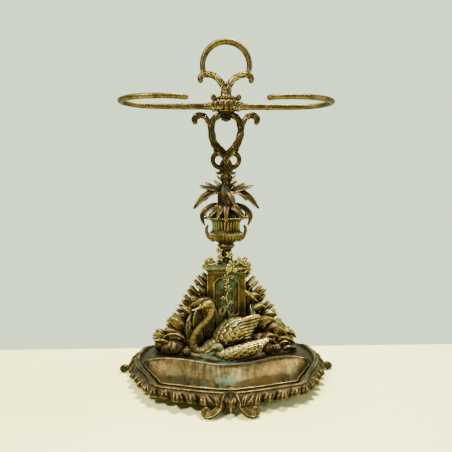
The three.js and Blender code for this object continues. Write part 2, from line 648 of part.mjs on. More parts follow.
// ---- collar, yoke and carrying handle ----
function collar() {
  const z = COLLAR_Z;
  const disc = turned(
    [[0, z], [24, z], [29, z + 3], [26, z + 8], [17, z + COLLAR_HEIGHT], [0, z + COLLAR_HEIGHT]],
    { depth: 0.6 },
  );
  return join(disc, ball(v(27, 0, z + 6), 7, 7, 5.9), ball(v(-27, 0, z + 6), 7, 7, 5.9));
}
add("top_collar", cut(collar(), studHole));

const dip = Math.asin(HANDLE_RISE / HANDLE_R);
const handleEndX = HANDLE_R * Math.cos(dip);
const handlePin = (sign, grow) =>
  upright(PIN_R + grow, sign * handleEndX, 0, SEAT_Z - 8 - grow, SEAT_Z + 9 + grow, 8);
const pinRooms = [handlePin(1, BORE_GAP), handlePin(-1, BORE_GAP)];

function yoke() {
  const base = YOKE_Z;
  const arm = [[3, 2], [5, 18], [13, 32], [28, 43], [42, 47], [54, 45], [60, 38], [57, 33]];
  const path = arm.map(([x, up]) => v(x * reach, 0, base + up));
  const pillar = turned([[0, base], [13, base], [10, base + 10], [11, base + 24], [0, base + 28]], { depth: 0.75, sides: 12 });
  const seats = [1, -1].map((sign) => upright(7, sign * handleEndX, 0, SEAT_Z - 10, SEAT_Z));
  return join(bothSides(path, (side) => limb(side, [9, 8, 6.5, 6, 6, 6, 5.5, 4.5], { steps: 12 })), pillar, ...seats);
}
const aboveSeats = block(v(-120, -40, SEAT_Z), v(120, 40, SEAT_Z + 60));
add("handle_yoke", cut(yoke(), studHole, ...pinRooms, aboveSeats));

function handle() {
  const sweep = dip + 0.12;
  const path = [];
  for (let i = 0; i <= 12; i++) {
    const a = -sweep + ((Math.PI + 2 * sweep) * i) / 12;
    path.push(v(HANDLE_R * Math.cos(a), 0, HANDLE_Z + HANDLE_R * Math.sin(a)));
  }
  const ends = 6.6;
  return limb(path, [ends, HANDLE_TUBE_R, HANDLE_TUBE_R, HANDLE_TUBE_R, ends], { sides: 8, steps: 20 });
}
const belowSeats = block(v(-120, -40, SEAT_Z - 60), v(120, 40, SEAT_Z + GAP));
add("handle_loop", cut(handle(), belowSeats, ...pinRooms));
add("handle_pin_left", handlePin(-1, 0), "fixing");
add("handle_pin_right", handlePin(1, 0), "fixing");

// The origin is on the floor under the middle of the whole stand.
const box = new THREE.Box3().setFromObject(stand);
const middle = box.getCenter(v(0, 0, 0));
stand.position.set(-middle.x, -middle.y, -box.min.z);

export default stand;
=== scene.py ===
import math

import bpy
import numpy as np
from mathutils import Matrix, Vector


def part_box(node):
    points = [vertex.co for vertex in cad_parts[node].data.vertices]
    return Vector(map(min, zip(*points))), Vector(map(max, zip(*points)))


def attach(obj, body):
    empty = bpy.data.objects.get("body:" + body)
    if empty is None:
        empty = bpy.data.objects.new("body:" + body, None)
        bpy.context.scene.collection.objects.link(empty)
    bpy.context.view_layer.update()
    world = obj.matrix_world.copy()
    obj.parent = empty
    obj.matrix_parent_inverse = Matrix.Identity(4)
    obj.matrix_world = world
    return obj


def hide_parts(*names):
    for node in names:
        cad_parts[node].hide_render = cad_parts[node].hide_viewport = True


bl_info = {
    "name": "Cast brass umbrella stand",
    "version": (1, 0, 0),
    "blender": (4, 5, 0),
    "location": "View3D > Sidebar > Stand",
    "description": "Builds the carved surface of a cast brass umbrella stand round its solids",
    "category": "Add Mesh",
}

TAU = 2 * math.pi
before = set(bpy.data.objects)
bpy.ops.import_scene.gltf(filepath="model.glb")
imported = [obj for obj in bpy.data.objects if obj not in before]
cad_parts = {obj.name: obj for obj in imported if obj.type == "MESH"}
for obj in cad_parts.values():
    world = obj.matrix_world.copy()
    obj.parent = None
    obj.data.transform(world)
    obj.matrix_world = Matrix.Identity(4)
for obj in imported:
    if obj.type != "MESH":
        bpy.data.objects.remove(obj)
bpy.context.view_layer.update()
_low, _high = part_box("column_rod")
COLUMN = np.array([(_low.x + _high.x) / 2, (_low.y + _high.y) / 2, 0.0])  # the column's foot, metres


def span(node):
    """Lowest and highest corner of a CAD node, in millimetres round the column."""
    low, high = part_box(node)
    return (np.array(low) - COLUMN) * 1000, (np.array(high) - COLUMN) * 1000


# Heights, in millimetres: the top of the deck, and the ledge that the tray's rim lies on.
DECK = span("reed_panel")[0][2] - 0.3
LEDGE = DECK - 7
OUTLINE_POINTS = 1120  # round the base
BORDER_LEAVES = 60  # no two of this many are alike
TRAY_DEPTH = 18
SWAN_Y = -51  # where the swan stands, from back to front
CYGNET_Y = -82
HANDLE_R = 55.0
HANDLE_DIP = 13.6  # from the middle of the handle's round down to its ends
# How far the ambient occlusion looks when it paints shade into the hollows, in metres.
SHADE_REACH = 0.016  # reach of the dark in the hollows, in metres


# ---- curves ----
def unit(vectors):
    """The vectors, each one long."""
    return vectors / np.maximum(np.linalg.norm(vectors, axis=-1, keepdims=True), 1e-9)


def by_share(values, count):
    """A short list of numbers, spread evenly and read off at count places."""
    values = np.atleast_1d(values).astype(float)
    return np.interp(np.linspace(0, 1, count), np.linspace(0, 1, len(values)), values)


def through(points, per_span, closed=False):
    """Centripetal curve through points, with the same number of steps between each two."""
    p = np.asarray(points, float)
    if closed:
        p = np.vstack([p[-1:], p, p[:2]])
    else:
        p = np.vstack([2 * p[:1] - p[1:2], p, 2 * p[-1:] - p[-2:-1]])
    out = []
    t = np.linspace(0, 1, per_span, endpoint=False)[:, None]
    for a, b, c, d in zip(p, p[1:], p[2:], p[3:]):
        d0, d1, d2 = (max(np.linalg.norm(q - r), 1e-6) ** 0.5 for q, r in ((b, a), (c, b), (d, c)))
        m1 = ((b - a) / d0 - (c - a) / (d0 + d1) + (c - b) / d1) * d1
        m2 = ((c - b) / d1 - (d - b) / (d1 + d2) + (d - c) / d2) * d1
        out.append(b + m1 * t + (3 * (c - b) - 2 * m1 - m2) * t**2 + (2 * (b - c) + m1 + m2) * t**3)
    if not closed:
        out.append(p[-2:-1])
    return np.vstack(out)


def smooth(points, count, closed=False):
    """count points spread evenly by length along the curve through points."""
    p = np.array([list(q) + [0.0] * (3 - len(q)) for q in points], float)
    fine = through(p, 24, closed)
    if closed:
        fine = np.vstack([fine, fine[:1]])
    length = np.concatenate([[0], np.cumsum(np.linalg.norm(np.diff(fine, axis=0), axis=1))])
    at = np.linspace(0, length[-1], count, endpoint=not closed)
    return np.stack([np.interp(at, length, fine[:, k]) for k in range(3)], 1)


def flat_path(points, y=0.0):
    """Points given across and up, put in the plane across the front at depth y."""
    return [(p[0], p[2] if len(p) > 2 else y, p[1]) for p in points]


def lumps(points, size, seed, octaves=3):
    """A smooth uneven field, about -1 to 1, with bumps of about that size."""
    rng = np.random.default_rng(seed)
    field = np.zeros(points.shape[:-1])
    for octave in range(octaves):
        for _ in range(5):
            direction = unit(rng.normal(size=3))
            wave = TAU * 2**octave / size * rng.uniform(0.7, 1.3)
            field += np.sin(points @ direction * wave + rng.uniform(0, TAU)) / 2**octave
    return field / 5


# ---- rings that a skin is drawn over ----
def sweep(path, radius, side=(0, 1, 0), sides=20, flat=1.0, count=40, shape=None, round_ends=True):
    """Rings round a path. radius is the half size along side, and flat is the other one over it."""
    spine = smooth(path, count)
    radii = by_share(radius, count)
    flats = by_share(flat, count)
    tangent = unit(np.gradient(spine, axis=0))
    if round_ends:
        swell = np.linspace(0, math.pi / 2, 6)[1:-1]
        for end, sign in ((0, -1), (-1, 1)):
            extra = spine[end] + sign * tangent[end] * radii[end] * np.sin(swell)[:, None] * 0.9
            slim = radii[end] * np.cos(swell)
            if end == 0:
                spine = np.vstack([extra[::-1], spine])
                radii = np.concatenate([slim[::-1], radii])
            else:
                spine = np.vstack([spine, extra])
                radii = np.concatenate([radii, slim])
        flats = np.concatenate([[flats[0]] * 4, flats, [flats[-1]] * 4])
        tangent = np.vstack([[tangent[0]] * 4, tangent, [tangent[-1]] * 4])
    side = np.broadcast_to(np.asarray(side, float), tangent.shape)
    side = unit(side - tangent * (side * tangent).sum(1, keepdims=True))
    normal = np.cross(tangent, side)
    angle = np.linspace(0, TAU, sides, endpoint=False)
    share = np.linspace(0, 1, len(spine))[:, None]
    grow = shape(share, angle[None]) if shape else np.ones((len(spine), sides))
    out = side[:, None] * (np.cos(angle) * grow * radii[:, None])[..., None]
    out = out + normal[:, None] * (np.sin(angle) * grow * (radii * flats)[:, None])[..., None]
    return spine[:, None] + out


def leaf(path, half, facing=(0, -1, 0), thick=1.6, fold=0.3, ribs=0, rib=0.5, veins=0.0, count=22,
         across=9, blunt=0.0):
    """Rings of a solid leaf: fold lifts its edges, ribs run along it and veins fan out."""
    spine = smooth(path, count)
    tangent = unit(np.gradient(spine, axis=0))
    facing = np.asarray(facing, float)
    side = unit(np.cross(tangent, facing))
    normal = np.cross(side, tangent)
    s = np.linspace(0, 1, count)
    width = np.sin(math.pi * np.clip(s * (1 - blunt * 0.5), 0, 1) ** 0.7) ** 0.85
    width = np.maximum(width * (1 - 0.15 * s), 0.06) * half
    q = np.linspace(-1, 1, across)
    height = (fold * np.abs(q))[None] * width[:, None]
    if veins:
        waves = np.sin(TAU * (6 * s[:, None] - 1.1 * np.abs(q)[None]))
        height = height + veins * waves * (np.abs(q) < 0.95)[None]
    if ribs:
        height = height + rib * np.cos(ribs * math.pi * q)[None] * np.sin(math.pi * s)[:, None] ** 0.5
    depth = thick / 2 * np.sqrt(np.clip(1 - q**2, 0, 1))[None] * np.minimum(1, 0.25 + 6 * (1 - s))[:, None]
    base = spine[:, None] + side[:, None] * (q[None] * width[:, None])[..., None]
    top = base + normal[:, None] * (height + depth)[..., None]
    under = base + normal[:, None] * (height - depth)[..., None]
    return np.concatenate([top, under[:, -2:0:-1]], 1)


def lathe(profile, sides=96, depth=1.0, shape=None, steps=6):
    """Rings of a turned shape round the column, from (radius, height) pairs that needn't meet the axis."""
    line = through([(r, z, 0) for r, z in profile], steps)[:, :2]
    angle = np.linspace(0, TAU, sides, endpoint=False)
    share = np.linspace(0, 1, len(line))[:, None]
    radius = line[:, :1] * (shape(line[:, 1:2], angle[None], share) if shape else np.ones((1, sides)))
    z = np.broadcast_to(line[:, 1:2], radius.shape)
    return np.stack([radius * np.cos(angle), radius * np.sin(angle) * depth, z], 2)


def blob(centre, size, seed=0, rough=0.0, rough_size=12.0, sides=28, rows=16):
    """Rings of a rounded lump."""
    phi = np.linspace(0.06, math.pi - 0.06, rows)
    angle = np.linspace(0, TAU, sides, endpoint=False)
    ball = np.stack([
        np.sin(phi)[:, None] * np.cos(angle), np.sin(phi)[:, None] * np.sin(angle),
        -np.cos(phi)[:, None] * np.ones(sides),
    ], 2)
    points = ball * np.asarray(size, float)
    if rough:
        bumps = lumps(points + np.asarray(centre, float), rough_size, seed)
        points = points + ball * (rough * bumps)[..., None]
    return points + np.asarray(centre, float)


def sided(sign, path):
    """The path as it is for 1, and on the other side of the middle for -1."""
    return [(sign * p[0], *p[1:]) for p in path]


class Casting:
    """Gathers closed shells, in millimetres round the column, into one object."""

    def __init__(self, name):
        self.name = name
        self.points = []
        self.faces = []
        self.count = 0

    def take(self, points, faces):
        """Adds points and faces as they are."""
        self.faces += [tuple(k + self.count for k in face) for face in faces]
        self.points.append(points)
        self.count += len(points)

    def skin(self, rings, loop=False):
        """Adds the closed skin over rings: flat ends, or closed from the last ring to the first."""
        rings = np.asarray(rings, float)
        n, m = rings.shape[:2]
        index = np.arange(n * m).reshape(n, m)
        here = index if loop else index[:-1]
        above = np.roll(index, -1, 0) if loop else index[1:]
        quads = np.stack([here, np.roll(here, -1, 1), np.roll(above, -1, 1), above], -1).reshape(-1, 4)
        corner = rings.reshape(-1, 3) - rings.reshape(-1, 3).mean(0)
        a, b, c, d = (corner[quads[:, k]] for k in range(4))
        volume = (np.cross(a, b) * c).sum() + (np.cross(a, c) * d).sum()
        ends = []
        if not loop:
            ends = [index[0][::-1].tolist(), index[-1].tolist()]
            for end in ends:
                fan = corner[end]
                volume += (np.cross(fan[1:-1], fan[2:]) * fan[0]).sum()
        faces = quads.tolist() + ends
        self.take(rings.reshape(-1, 3), faces if volume > 0 else [face[::-1] for face in faces])

    def both(self, make, path, **settings):
        """Adds make(path) and its mirror image."""
        self.skin(make(path, **settings))
        self.skin(make(sided(-1, path), **settings))

    def copies(self, shape, spots, seed=1, unevenness=0.0):
        """Adds copies of a shape, a set of rings, at (point, along, facing, size) spots."""
        self.take(*repeated(shape, spots, seed, unevenness))

    def make(self, finish, replaces, body="stand", slot="brass_casting", sharp=50, green=()):
        """Makes the object, with what its finish reads: worn ridges and patches of green."""
        points = np.vstack(self.points)
        mesh = bpy.data.meshes.new(self.name)
        mesh.from_pydata((points * 0.001 + COLUMN).tolist(), [], self.faces)
        mesh.validate()
        mesh.update()
        mesh.shade_smooth()
        mesh.set_sharp_from_angle(angle=math.radians(sharp))
        attribute = mesh.attributes.new("worn", "FLOAT", "POINT")
        attribute.data.foreach_set("value", ridges(mesh).astype(np.float32))
        patches = np.zeros(len(mesh.vertices))
        for x, y, z, reach in green:
            distance = np.linalg.norm(points[: len(patches)] - [x, y, z], axis=1)
            patches = np.maximum(patches, np.exp(-((distance / reach) ** 2)))
        attribute = mesh.attributes.new("green", "FLOAT", "POINT")
        attribute.data.foreach_set("value", patches.astype(np.float32))
        piece = bpy.data.objects.new(self.name, mesh)
        bpy.context.collection.objects.link(piece)
        mesh.materials.append(finish_of(finish))
        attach(piece, body)
        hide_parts(*replaces)
        return piece


def ridges(mesh):
    """Per vertex, 0 in a hollow, 0.5 on a flat and 1 on a ridge."""
    count = len(mesh.vertices)
    co = np.zeros(count * 3)
    no = np.zeros(count * 3)
    pairs = np.zeros(len(mesh.edges) * 2, int)
    mesh.vertices.foreach_get("co", co)
    mesh.vertices.foreach_get("normal", no)
    mesh.edges.foreach_get("vertices", pairs)
    co, no, (a, b) = co.reshape(-1, 3) * 1000, no.reshape(-1, 3), pairs.reshape(-1, 2).T
    along = co[b] - co[a]
    length = np.maximum(np.linalg.norm(along, axis=1), 0.5)
    bend_a = -(along * no[a]).sum(1) / length**2
    bend_b = (along * no[b]).sum(1) / length**2
    number = np.maximum(np.bincount(a, minlength=count) + np.bincount(b, minlength=count), 1)
    bend = (np.bincount(a, bend_a, count) + np.bincount(b, bend_b, count)) / number
    for _ in range(2):
        spread = np.bincount(a, bend[b], count) + np.bincount(b, bend[a], count)
        bend = 0.5 * bend + 0.5 * spread / number
    return np.clip(0.5 + 1.6 * bend, 0, 1)


# ---- what repeats: copies on points, by Geometry Nodes ----
def copies_tree():
    """Copies of one shape on points, each with the turn and size its point holds."""
    tree = bpy.data.node_groups.new("copies_on_points", "GeometryNodeTree")
    sockets = {}
    for label, kind in (
        ("Points", "NodeSocketGeometry"), ("Shape", "NodeSocketObject"), ("Size", "NodeSocketFloat"),
        ("Unevenness", "NodeSocketFloat"), ("Seed", "NodeSocketInt"), ("Finish", "NodeSocketMaterial"),
    ):
        sockets[label] = tree.interface.new_socket(label, in_out="INPUT", socket_type=kind).identifier
    tree.interface.new_socket("Copies", in_out="OUTPUT", socket_type="NodeSocketGeometry")
    nodes, links = tree.nodes, tree.links
    given = nodes.new("NodeGroupInput")
    result = nodes.new("NodeGroupOutput")
    shape = nodes.new("GeometryNodeObjectInfo")
    links.new(given.outputs["Shape"], shape.inputs["Object"])

    def stored(name):
        node = nodes.new("GeometryNodeInputNamedAttribute")
        node.data_type = "FLOAT_VECTOR"
        node.inputs["Name"].default_value = name
        return node.outputs["Attribute"]

    turn = nodes.new("FunctionNodeEulerToRotation")
    links.new(stored("turn"), turn.inputs[0])
    chance = nodes.new("FunctionNodeRandomValue")
    chance.data_type = "FLOAT"
    low = nodes.new("ShaderNodeMath")
    low.operation = "SUBTRACT"
    high = nodes.new("ShaderNodeMath")
    for bound, name in ((low, "Min"), (high, "Max")):
        links.new(given.outputs["Size"], bound.inputs[0])
        links.new(given.outputs["Unevenness"], bound.inputs[1])
        links.new(bound.outputs[0], next(s for s in chance.inputs if s.name == name and s.type == "VALUE"))
    links.new(given.outputs["Seed"], chance.inputs["Seed"])
    scale = nodes.new("ShaderNodeVectorMath")
    scale.operation = "SCALE"
    links.new(stored("size"), scale.inputs[0])
    links.new(next(s for s in chance.outputs if s.type == "VALUE"), scale.inputs["Scale"])
    put = nodes.new("GeometryNodeInstanceOnPoints")
    links.new(given.outputs["Points"], put.inputs["Points"])
    links.new(shape.outputs["Geometry"], put.inputs["Instance"])
    links.new(turn.outputs[0], put.inputs["Rotation"])
    links.new(scale.outputs[0], put.inputs["Scale"])
    real = nodes.new("GeometryNodeRealizeInstances")
    finish = nodes.new("GeometryNodeSetMaterial")
    links.new(put.outputs[0], real.inputs[0])
    links.new(real.outputs[0], finish.inputs["Geometry"])
    links.new(given.outputs["Finish"], finish.inputs["Material"])
    links.new(finish.outputs[0], result.inputs[0])
    return tree, sockets


_copies = {}


def repeated(shape, spots, seed, unevenness):
    """Points and faces of copies of a shape that is drawn along +X and faces +Z."""
    if not _copies:
        _copies["tree"], _copies["sockets"] = copies_tree()
        _copies["finish"] = bpy.data.materials.new("copies_finish")
    drawn = Casting("shape")
    drawn.skin(shape)
    pattern = bpy.data.meshes.new("shape")
    pattern.from_pydata(np.vstack(drawn.points).tolist(), [], drawn.faces)
    pattern_object = bpy.data.objects.new("shape", pattern)
    points = bpy.data.meshes.new("spots")
    points.from_pydata([tuple(map(float, spot[0])) for spot in spots], [], [])
    turns, sizes = [], []
    for _, along, facing, size in spots:
        x = Vector(along).normalized()
        z = Vector(facing)
        z = (z - x * z.dot(x)).normalized()
        turns.append(Matrix((x, z.cross(x), z)).transposed().to_euler())
        sizes.append(size if hasattr(size, "__len__") else (size, size, size))
    for name, values in (("turn", turns), ("size", sizes)):
        stored = points.attributes.new(name, "FLOAT_VECTOR", "POINT")
        stored.data.foreach_set("vector", np.array([list(value) for value in values], np.float32).ravel())
    holder = bpy.data.objects.new("spots", points)
    for made in (pattern_object, holder):
        bpy.context.collection.objects.link(made)
    modifier = holder.modifiers.new("copies", "NODES")
    modifier.node_group = _copies["tree"]
    inputs = {
        "Shape": pattern_object, "Size": 1.0, "Unevenness": float(unevenness), "Seed": int(seed),
        "Finish": _copies["finish"],
    }
    for label, value in inputs.items():
        modifier[_copies["sockets"][label]] = value
    result = bpy.data.meshes.new_from_object(holder.evaluated_get(bpy.context.evaluated_depsgraph_get()))
    co = np.zeros(len(result.vertices) * 3)
    result.vertices.foreach_get("co", co)
    faces = [list(face.vertices) for face in result.polygons]
    for made in (holder, pattern_object):
        bpy.data.objects.remove(made)
    for mesh in (result, points, pattern):
        bpy.data.meshes.remove(mesh)
    return co.reshape(-1, 3), faces


# ---- finishes ----
class Value:
    """A shader socket that can be used in sums."""

    def __init__(self, finish, socket):
        self.finish = finish
        self.socket = socket

    def __add__(self, other):
        return self.finish.math("ADD", self, other)

    def __sub__(self, other):
        return self.finish.math("SUBTRACT", self, other)

    def __rsub__(self, other):
        return self.finish.math("SUBTRACT", other, self)

    def __mul__(self, other):
        return self.finish.math("MULTIPLY", self, other)

    __radd__ = __add__
    __rmul__ = __mul__


class Finish:
    """The nodes of a material, or of the world, under construction."""

    def __init__(self, owner):
        self.owner = owner
        self.owner.use_nodes = True
        self.tree = self.owner.node_tree
        self.tree.nodes.clear()

    def node(self, kind, settings=None, inputs=None, output=0):
        """Adds a node: its settings first, then the values or links of its sockets."""
        made = self.tree.nodes.new(kind)
        for name, value in (settings or {}).items():
            if name == "stops":
                ramp = made.color_ramp
                while len(ramp.elements) < len(value):
                    ramp.elements.new(0.5)
                for element, (place, colour) in zip(ramp.elements, value):
                    element.position = place
                    element.color = (*colour, 1.0)
            else:
                setattr(made, name, value)
        for name, value in (inputs or {}).items():
            socket = made.inputs[name]
            if isinstance(value, Value):
                self.tree.links.new(value.socket, socket)
            else:
                socket.default_value = value
        return Value(self, made.outputs[output]) if made.outputs else None

    def math(self, operation, *values, clamp=False):
        settings = {"operation": operation, "use_clamp": clamp}
        return self.node("ShaderNodeMath", settings, dict(enumerate(values)))

    def clamp(self, value):
        return self.math("ADD", value, 0.0, clamp=True)

    def step(self, value, low, high):
        """0 below low and 1 above high, turning smoothly between them."""
        settings = {"interpolation_type": "SMOOTHSTEP"}
        return self.node("ShaderNodeMapRange", settings, {"Value": value, "From Min": low, "From Max": high})

    def mix(self, share, first, second):
        inputs = {0: share, 6: first, 7: second}
        return self.node("ShaderNodeMix", {"data_type": "RGBA"}, inputs, output=2)

    def noise(self, scale, detail=4.0, rough=0.55, stretch=(1, 1, 1)):
        place = self.node("ShaderNodeTexCoord", output=3)
        place = self.node("ShaderNodeMapping", None, {"Vector": place, "Scale": stretch})
        inputs = {"Vector": place, "Scale": scale, "Detail": detail, "Roughness": rough}
        return self.node("ShaderNodeTexNoise", None, inputs)

    def attribute(self, name):
        return self.node("ShaderNodeAttribute", {"attribute_name": name}, output=2)

    def done(self, shader, kind="ShaderNodeOutputMaterial"):
        """Puts the shader on the surface."""
        self.node(kind, None, {"Surface": shader})
        return self.owner


def rgba(colour):
    """A colour with full alpha."""
    return (*colour[:3], 1.0)


def aged_brass(name, look, bright=1.0, streaks=0.0, grime_and_shade=1.0, grain=1.0):
    """Cast brass: dark in the hollows from patina and painted shade, brown on the flats, gold where it is
    rubbed, green in places.
    """
    f = Finish(bpy.data.materials.new(name))
    worn = f.attribute("worn")
    mottle = f.noise(42.0, 5.0, 0.6)
    speck = f.noise(240.0, 3.0, 0.6)
    open_sky = f.node("ShaderNodeAmbientOcclusion", {"samples": 6}, {"Distance": SHADE_REACH}, output=1)
    lit = f.step(open_sky, 0.22, 0.86)
    height = f.clamp(worn + (mottle - 0.5) * 0.50 + (speck - 0.5) * 0.35)
    # The ramp slides towards the hollow colour where ambient occlusion finds little open sky: painted shade.
    tone = f.node("ShaderNodeValToRGB", {"stops": [
        (0.18, look.hollow_dirt_and_shade_colour), (0.42, look.brown_colour), (0.62, look.bronze_colour),
        (0.86, look.gold_colour),
    ]}, {"Fac": f.clamp(height * (0.30 + 0.70 * lit) + 0.10 * (bright - 1.0))})
    if streaks:
        # Brown, pale, mossy and orange stains that run from front to back.
        runs = f.noise(60.0, 6.0, 0.7, stretch=(1.0, 0.22, 0.22))
        tone = f.mix(f.step(runs, 0.44, 0.72) * streaks, tone, rgba(look.bronze_colour))
        pale = f.noise(130.0, 6.0, 0.75, stretch=(1.0, 0.18, 0.18))
        tone = f.mix(f.step(pale, 0.50, 0.80) * streaks * 0.3, tone, rgba(look.gold_colour))
        moss = f.noise(85.0, 6.0, 0.7, stretch=(1.0, 0.35, 0.35))
        tone = f.mix(f.step(moss, 0.46, 0.66) * streaks * 1.1, tone, rgba(look.moss_colour))
        rust = f.noise(16.0, 4.0, 0.6)
        tone = f.mix(f.step(rust, 0.46, 0.70) * streaks * 1.1, tone, rgba(look.tray_colour))
    # Painted shade, with dirt, where ambient occlusion finds little open sky, and verdigris in the hollows.
    dirt_and_shade = (1.0 - lit) * grime_and_shade
    tone = f.mix(f.clamp(dirt_and_shade * 0.92), tone, rgba(look.hollow_dirt_and_shade_colour))
    bloom = f.noise(60.0, 6.0, 0.7)
    patch = f.step(bloom + f.attribute("green") * 0.30, 0.60, 0.88)
    patch = patch * f.step(worn, 0.85, 0.40) * 0.75
    tone = f.mix(patch, tone, rgba(look.green_colour))
    rough = f.clamp(0.50 - (height - 0.5) * 0.38 + patch * 0.35 + dirt_and_shade * 0.2)
    metal = f.clamp(1.0 - patch * 0.8 - dirt_and_shade * 0.45)
    relief = f.noise(480.0, 3.0, 0.6) * 0.5 + f.noise(120.0, 3.0, 0.5)
    bump = f.node("ShaderNodeBump", None, {"Height": relief, "Strength": 0.34 * grain, "Distance": 0.0013})
    shader = f.node("ShaderNodeBsdfPrincipled", None, {
        "Base Color": tone, "Roughness": rough, "Metallic": metal, "Normal": bump,
    })
    return f.done(shader)


def dull_steel(name):
    """Darkened steel for the screws and rods."""
    f = Finish(bpy.data.materials.new(name))
    stain = f.noise(90.0, 4.0)
    tone = f.mix(f.step(stain, 0.35, 0.7), (0.05, 0.042, 0.035, 1), (0.2, 0.17, 0.13, 1))
    shader = f.node("ShaderNodeBsdfPrincipled", None, {
        "Base Color": tone, "Metallic": 0.9, "Roughness": f.clamp(0.45 + stain * 0.25),
        "Normal": f.node(
            "ShaderNodeBump", None, {"Height": f.noise(600.0), "Strength": 0.2, "Distance": 0.0008},
        ),
    })
    return f.done(shader)


# ---- outlines of the base: the right half from the rear middle to the front middle ----
OPENING = [
    (0, -105), (28, -101), (62, -87), (104, -71), (152, -64), (184, -76), (190, -104), (172, -143),
    (151, -178), (145, -192), (101, -206), (52, -219), (0, -227),
]
BEAD = [
    (0, 30), (60, 30), (120, 30), (172, 22), (196, -8), (205, -40), (205, -78), (194, -116),
    (171, -156), (152, -197), (107, -212), (56, -225), (0, -234),
]
TIPS = [
    (0, 34), (62, 34), (124, 34), (180, 30), (214, 0), (227, -36), (229, -76), (221, -112),
    (204, -152), (172, -203), (126, -232), (64, -252), (0, -262),
]
TRAY_FLOOR = [
    (0, -150), (20, -146), (48, -136), (82, -124), (118, -116), (140, -118), (144, -130), (136, -146),
    (124, -158), (116, -166), (82, -176), (42, -186), (0, -190),
]


def evened(ring, passes):
    """A closed row of points with its small kinks smoothed out."""
    for _ in range(passes):
        ring = ring * 0.5 + (np.roll(ring, 1, 0) + np.roll(ring, -1, 0)) * 0.25
    return ring


def base_line(half, count):
    """The whole closed outline, with its points evenly spaced from the rear middle."""
    return evened(smooth([(x, y) for x, y in half + sided(-1, half[1:-1])[::-1]], count, closed=True), 4)


def moved_in(line, distance):
    """The line moved towards the middle of the base."""
    along = np.roll(line, -1, 0) - np.roll(line, 1, 0)
    return line + unit(np.stack([along[:, 1], -along[:, 0], 0 * along[:, 0]], 1)) * distance


def ease(value, low, high):
    """0 below low and 1 above high, turning smoothly between them."""
    t = np.clip((value - low) / (high - low), 0, 1)
    return t * t * (3 - 2 * t)


def level(plan, z):
    """The points of a plan at height z."""
    return np.column_stack([plan[:, :2], np.broadcast_to(z, len(plan))])


# How bright, streaked, dirty and rough each part of the brass is, and how much painted shade its hollows
# take.
BRASSES = {
    "brass_border": {"bright": -0.3, "grime_and_shade": 1.35},
    "brass_tray": {"bright": -0.4, "streaks": 0.45, "grime_and_shade": 0.6},
    # The side feet are made darker as painted shade.
    "brass_feet_painted_shade": {"bright": -1.0},
    "brass_relief": {},
    "brass_birds": {"bright": 1.6},
    "brass_column": {"bright": 0.3},
    "brass_cap": {"bright": 1.3},
    "brass_plant": {"bright": -0.2},
    "brass_upper": {"bright": -1.0},
    "brass_dark": {"bright": -2.0},
    "brass_boss": {"bright": 0.3},
    "brass_bars": {"bright": 0.5, "grain": 0.6},
}
_finishes = {}


def finish_of(name):
    """The finish of that name, made the first time it is asked for."""
    if name not in _finishes:
        if name in BRASSES:
            _finishes[name] = aged_brass(name, bpy.context.scene.stand_look, **BRASSES[name])
        else:
            _finishes[name] = dull_steel(name)
    return _finishes[name]


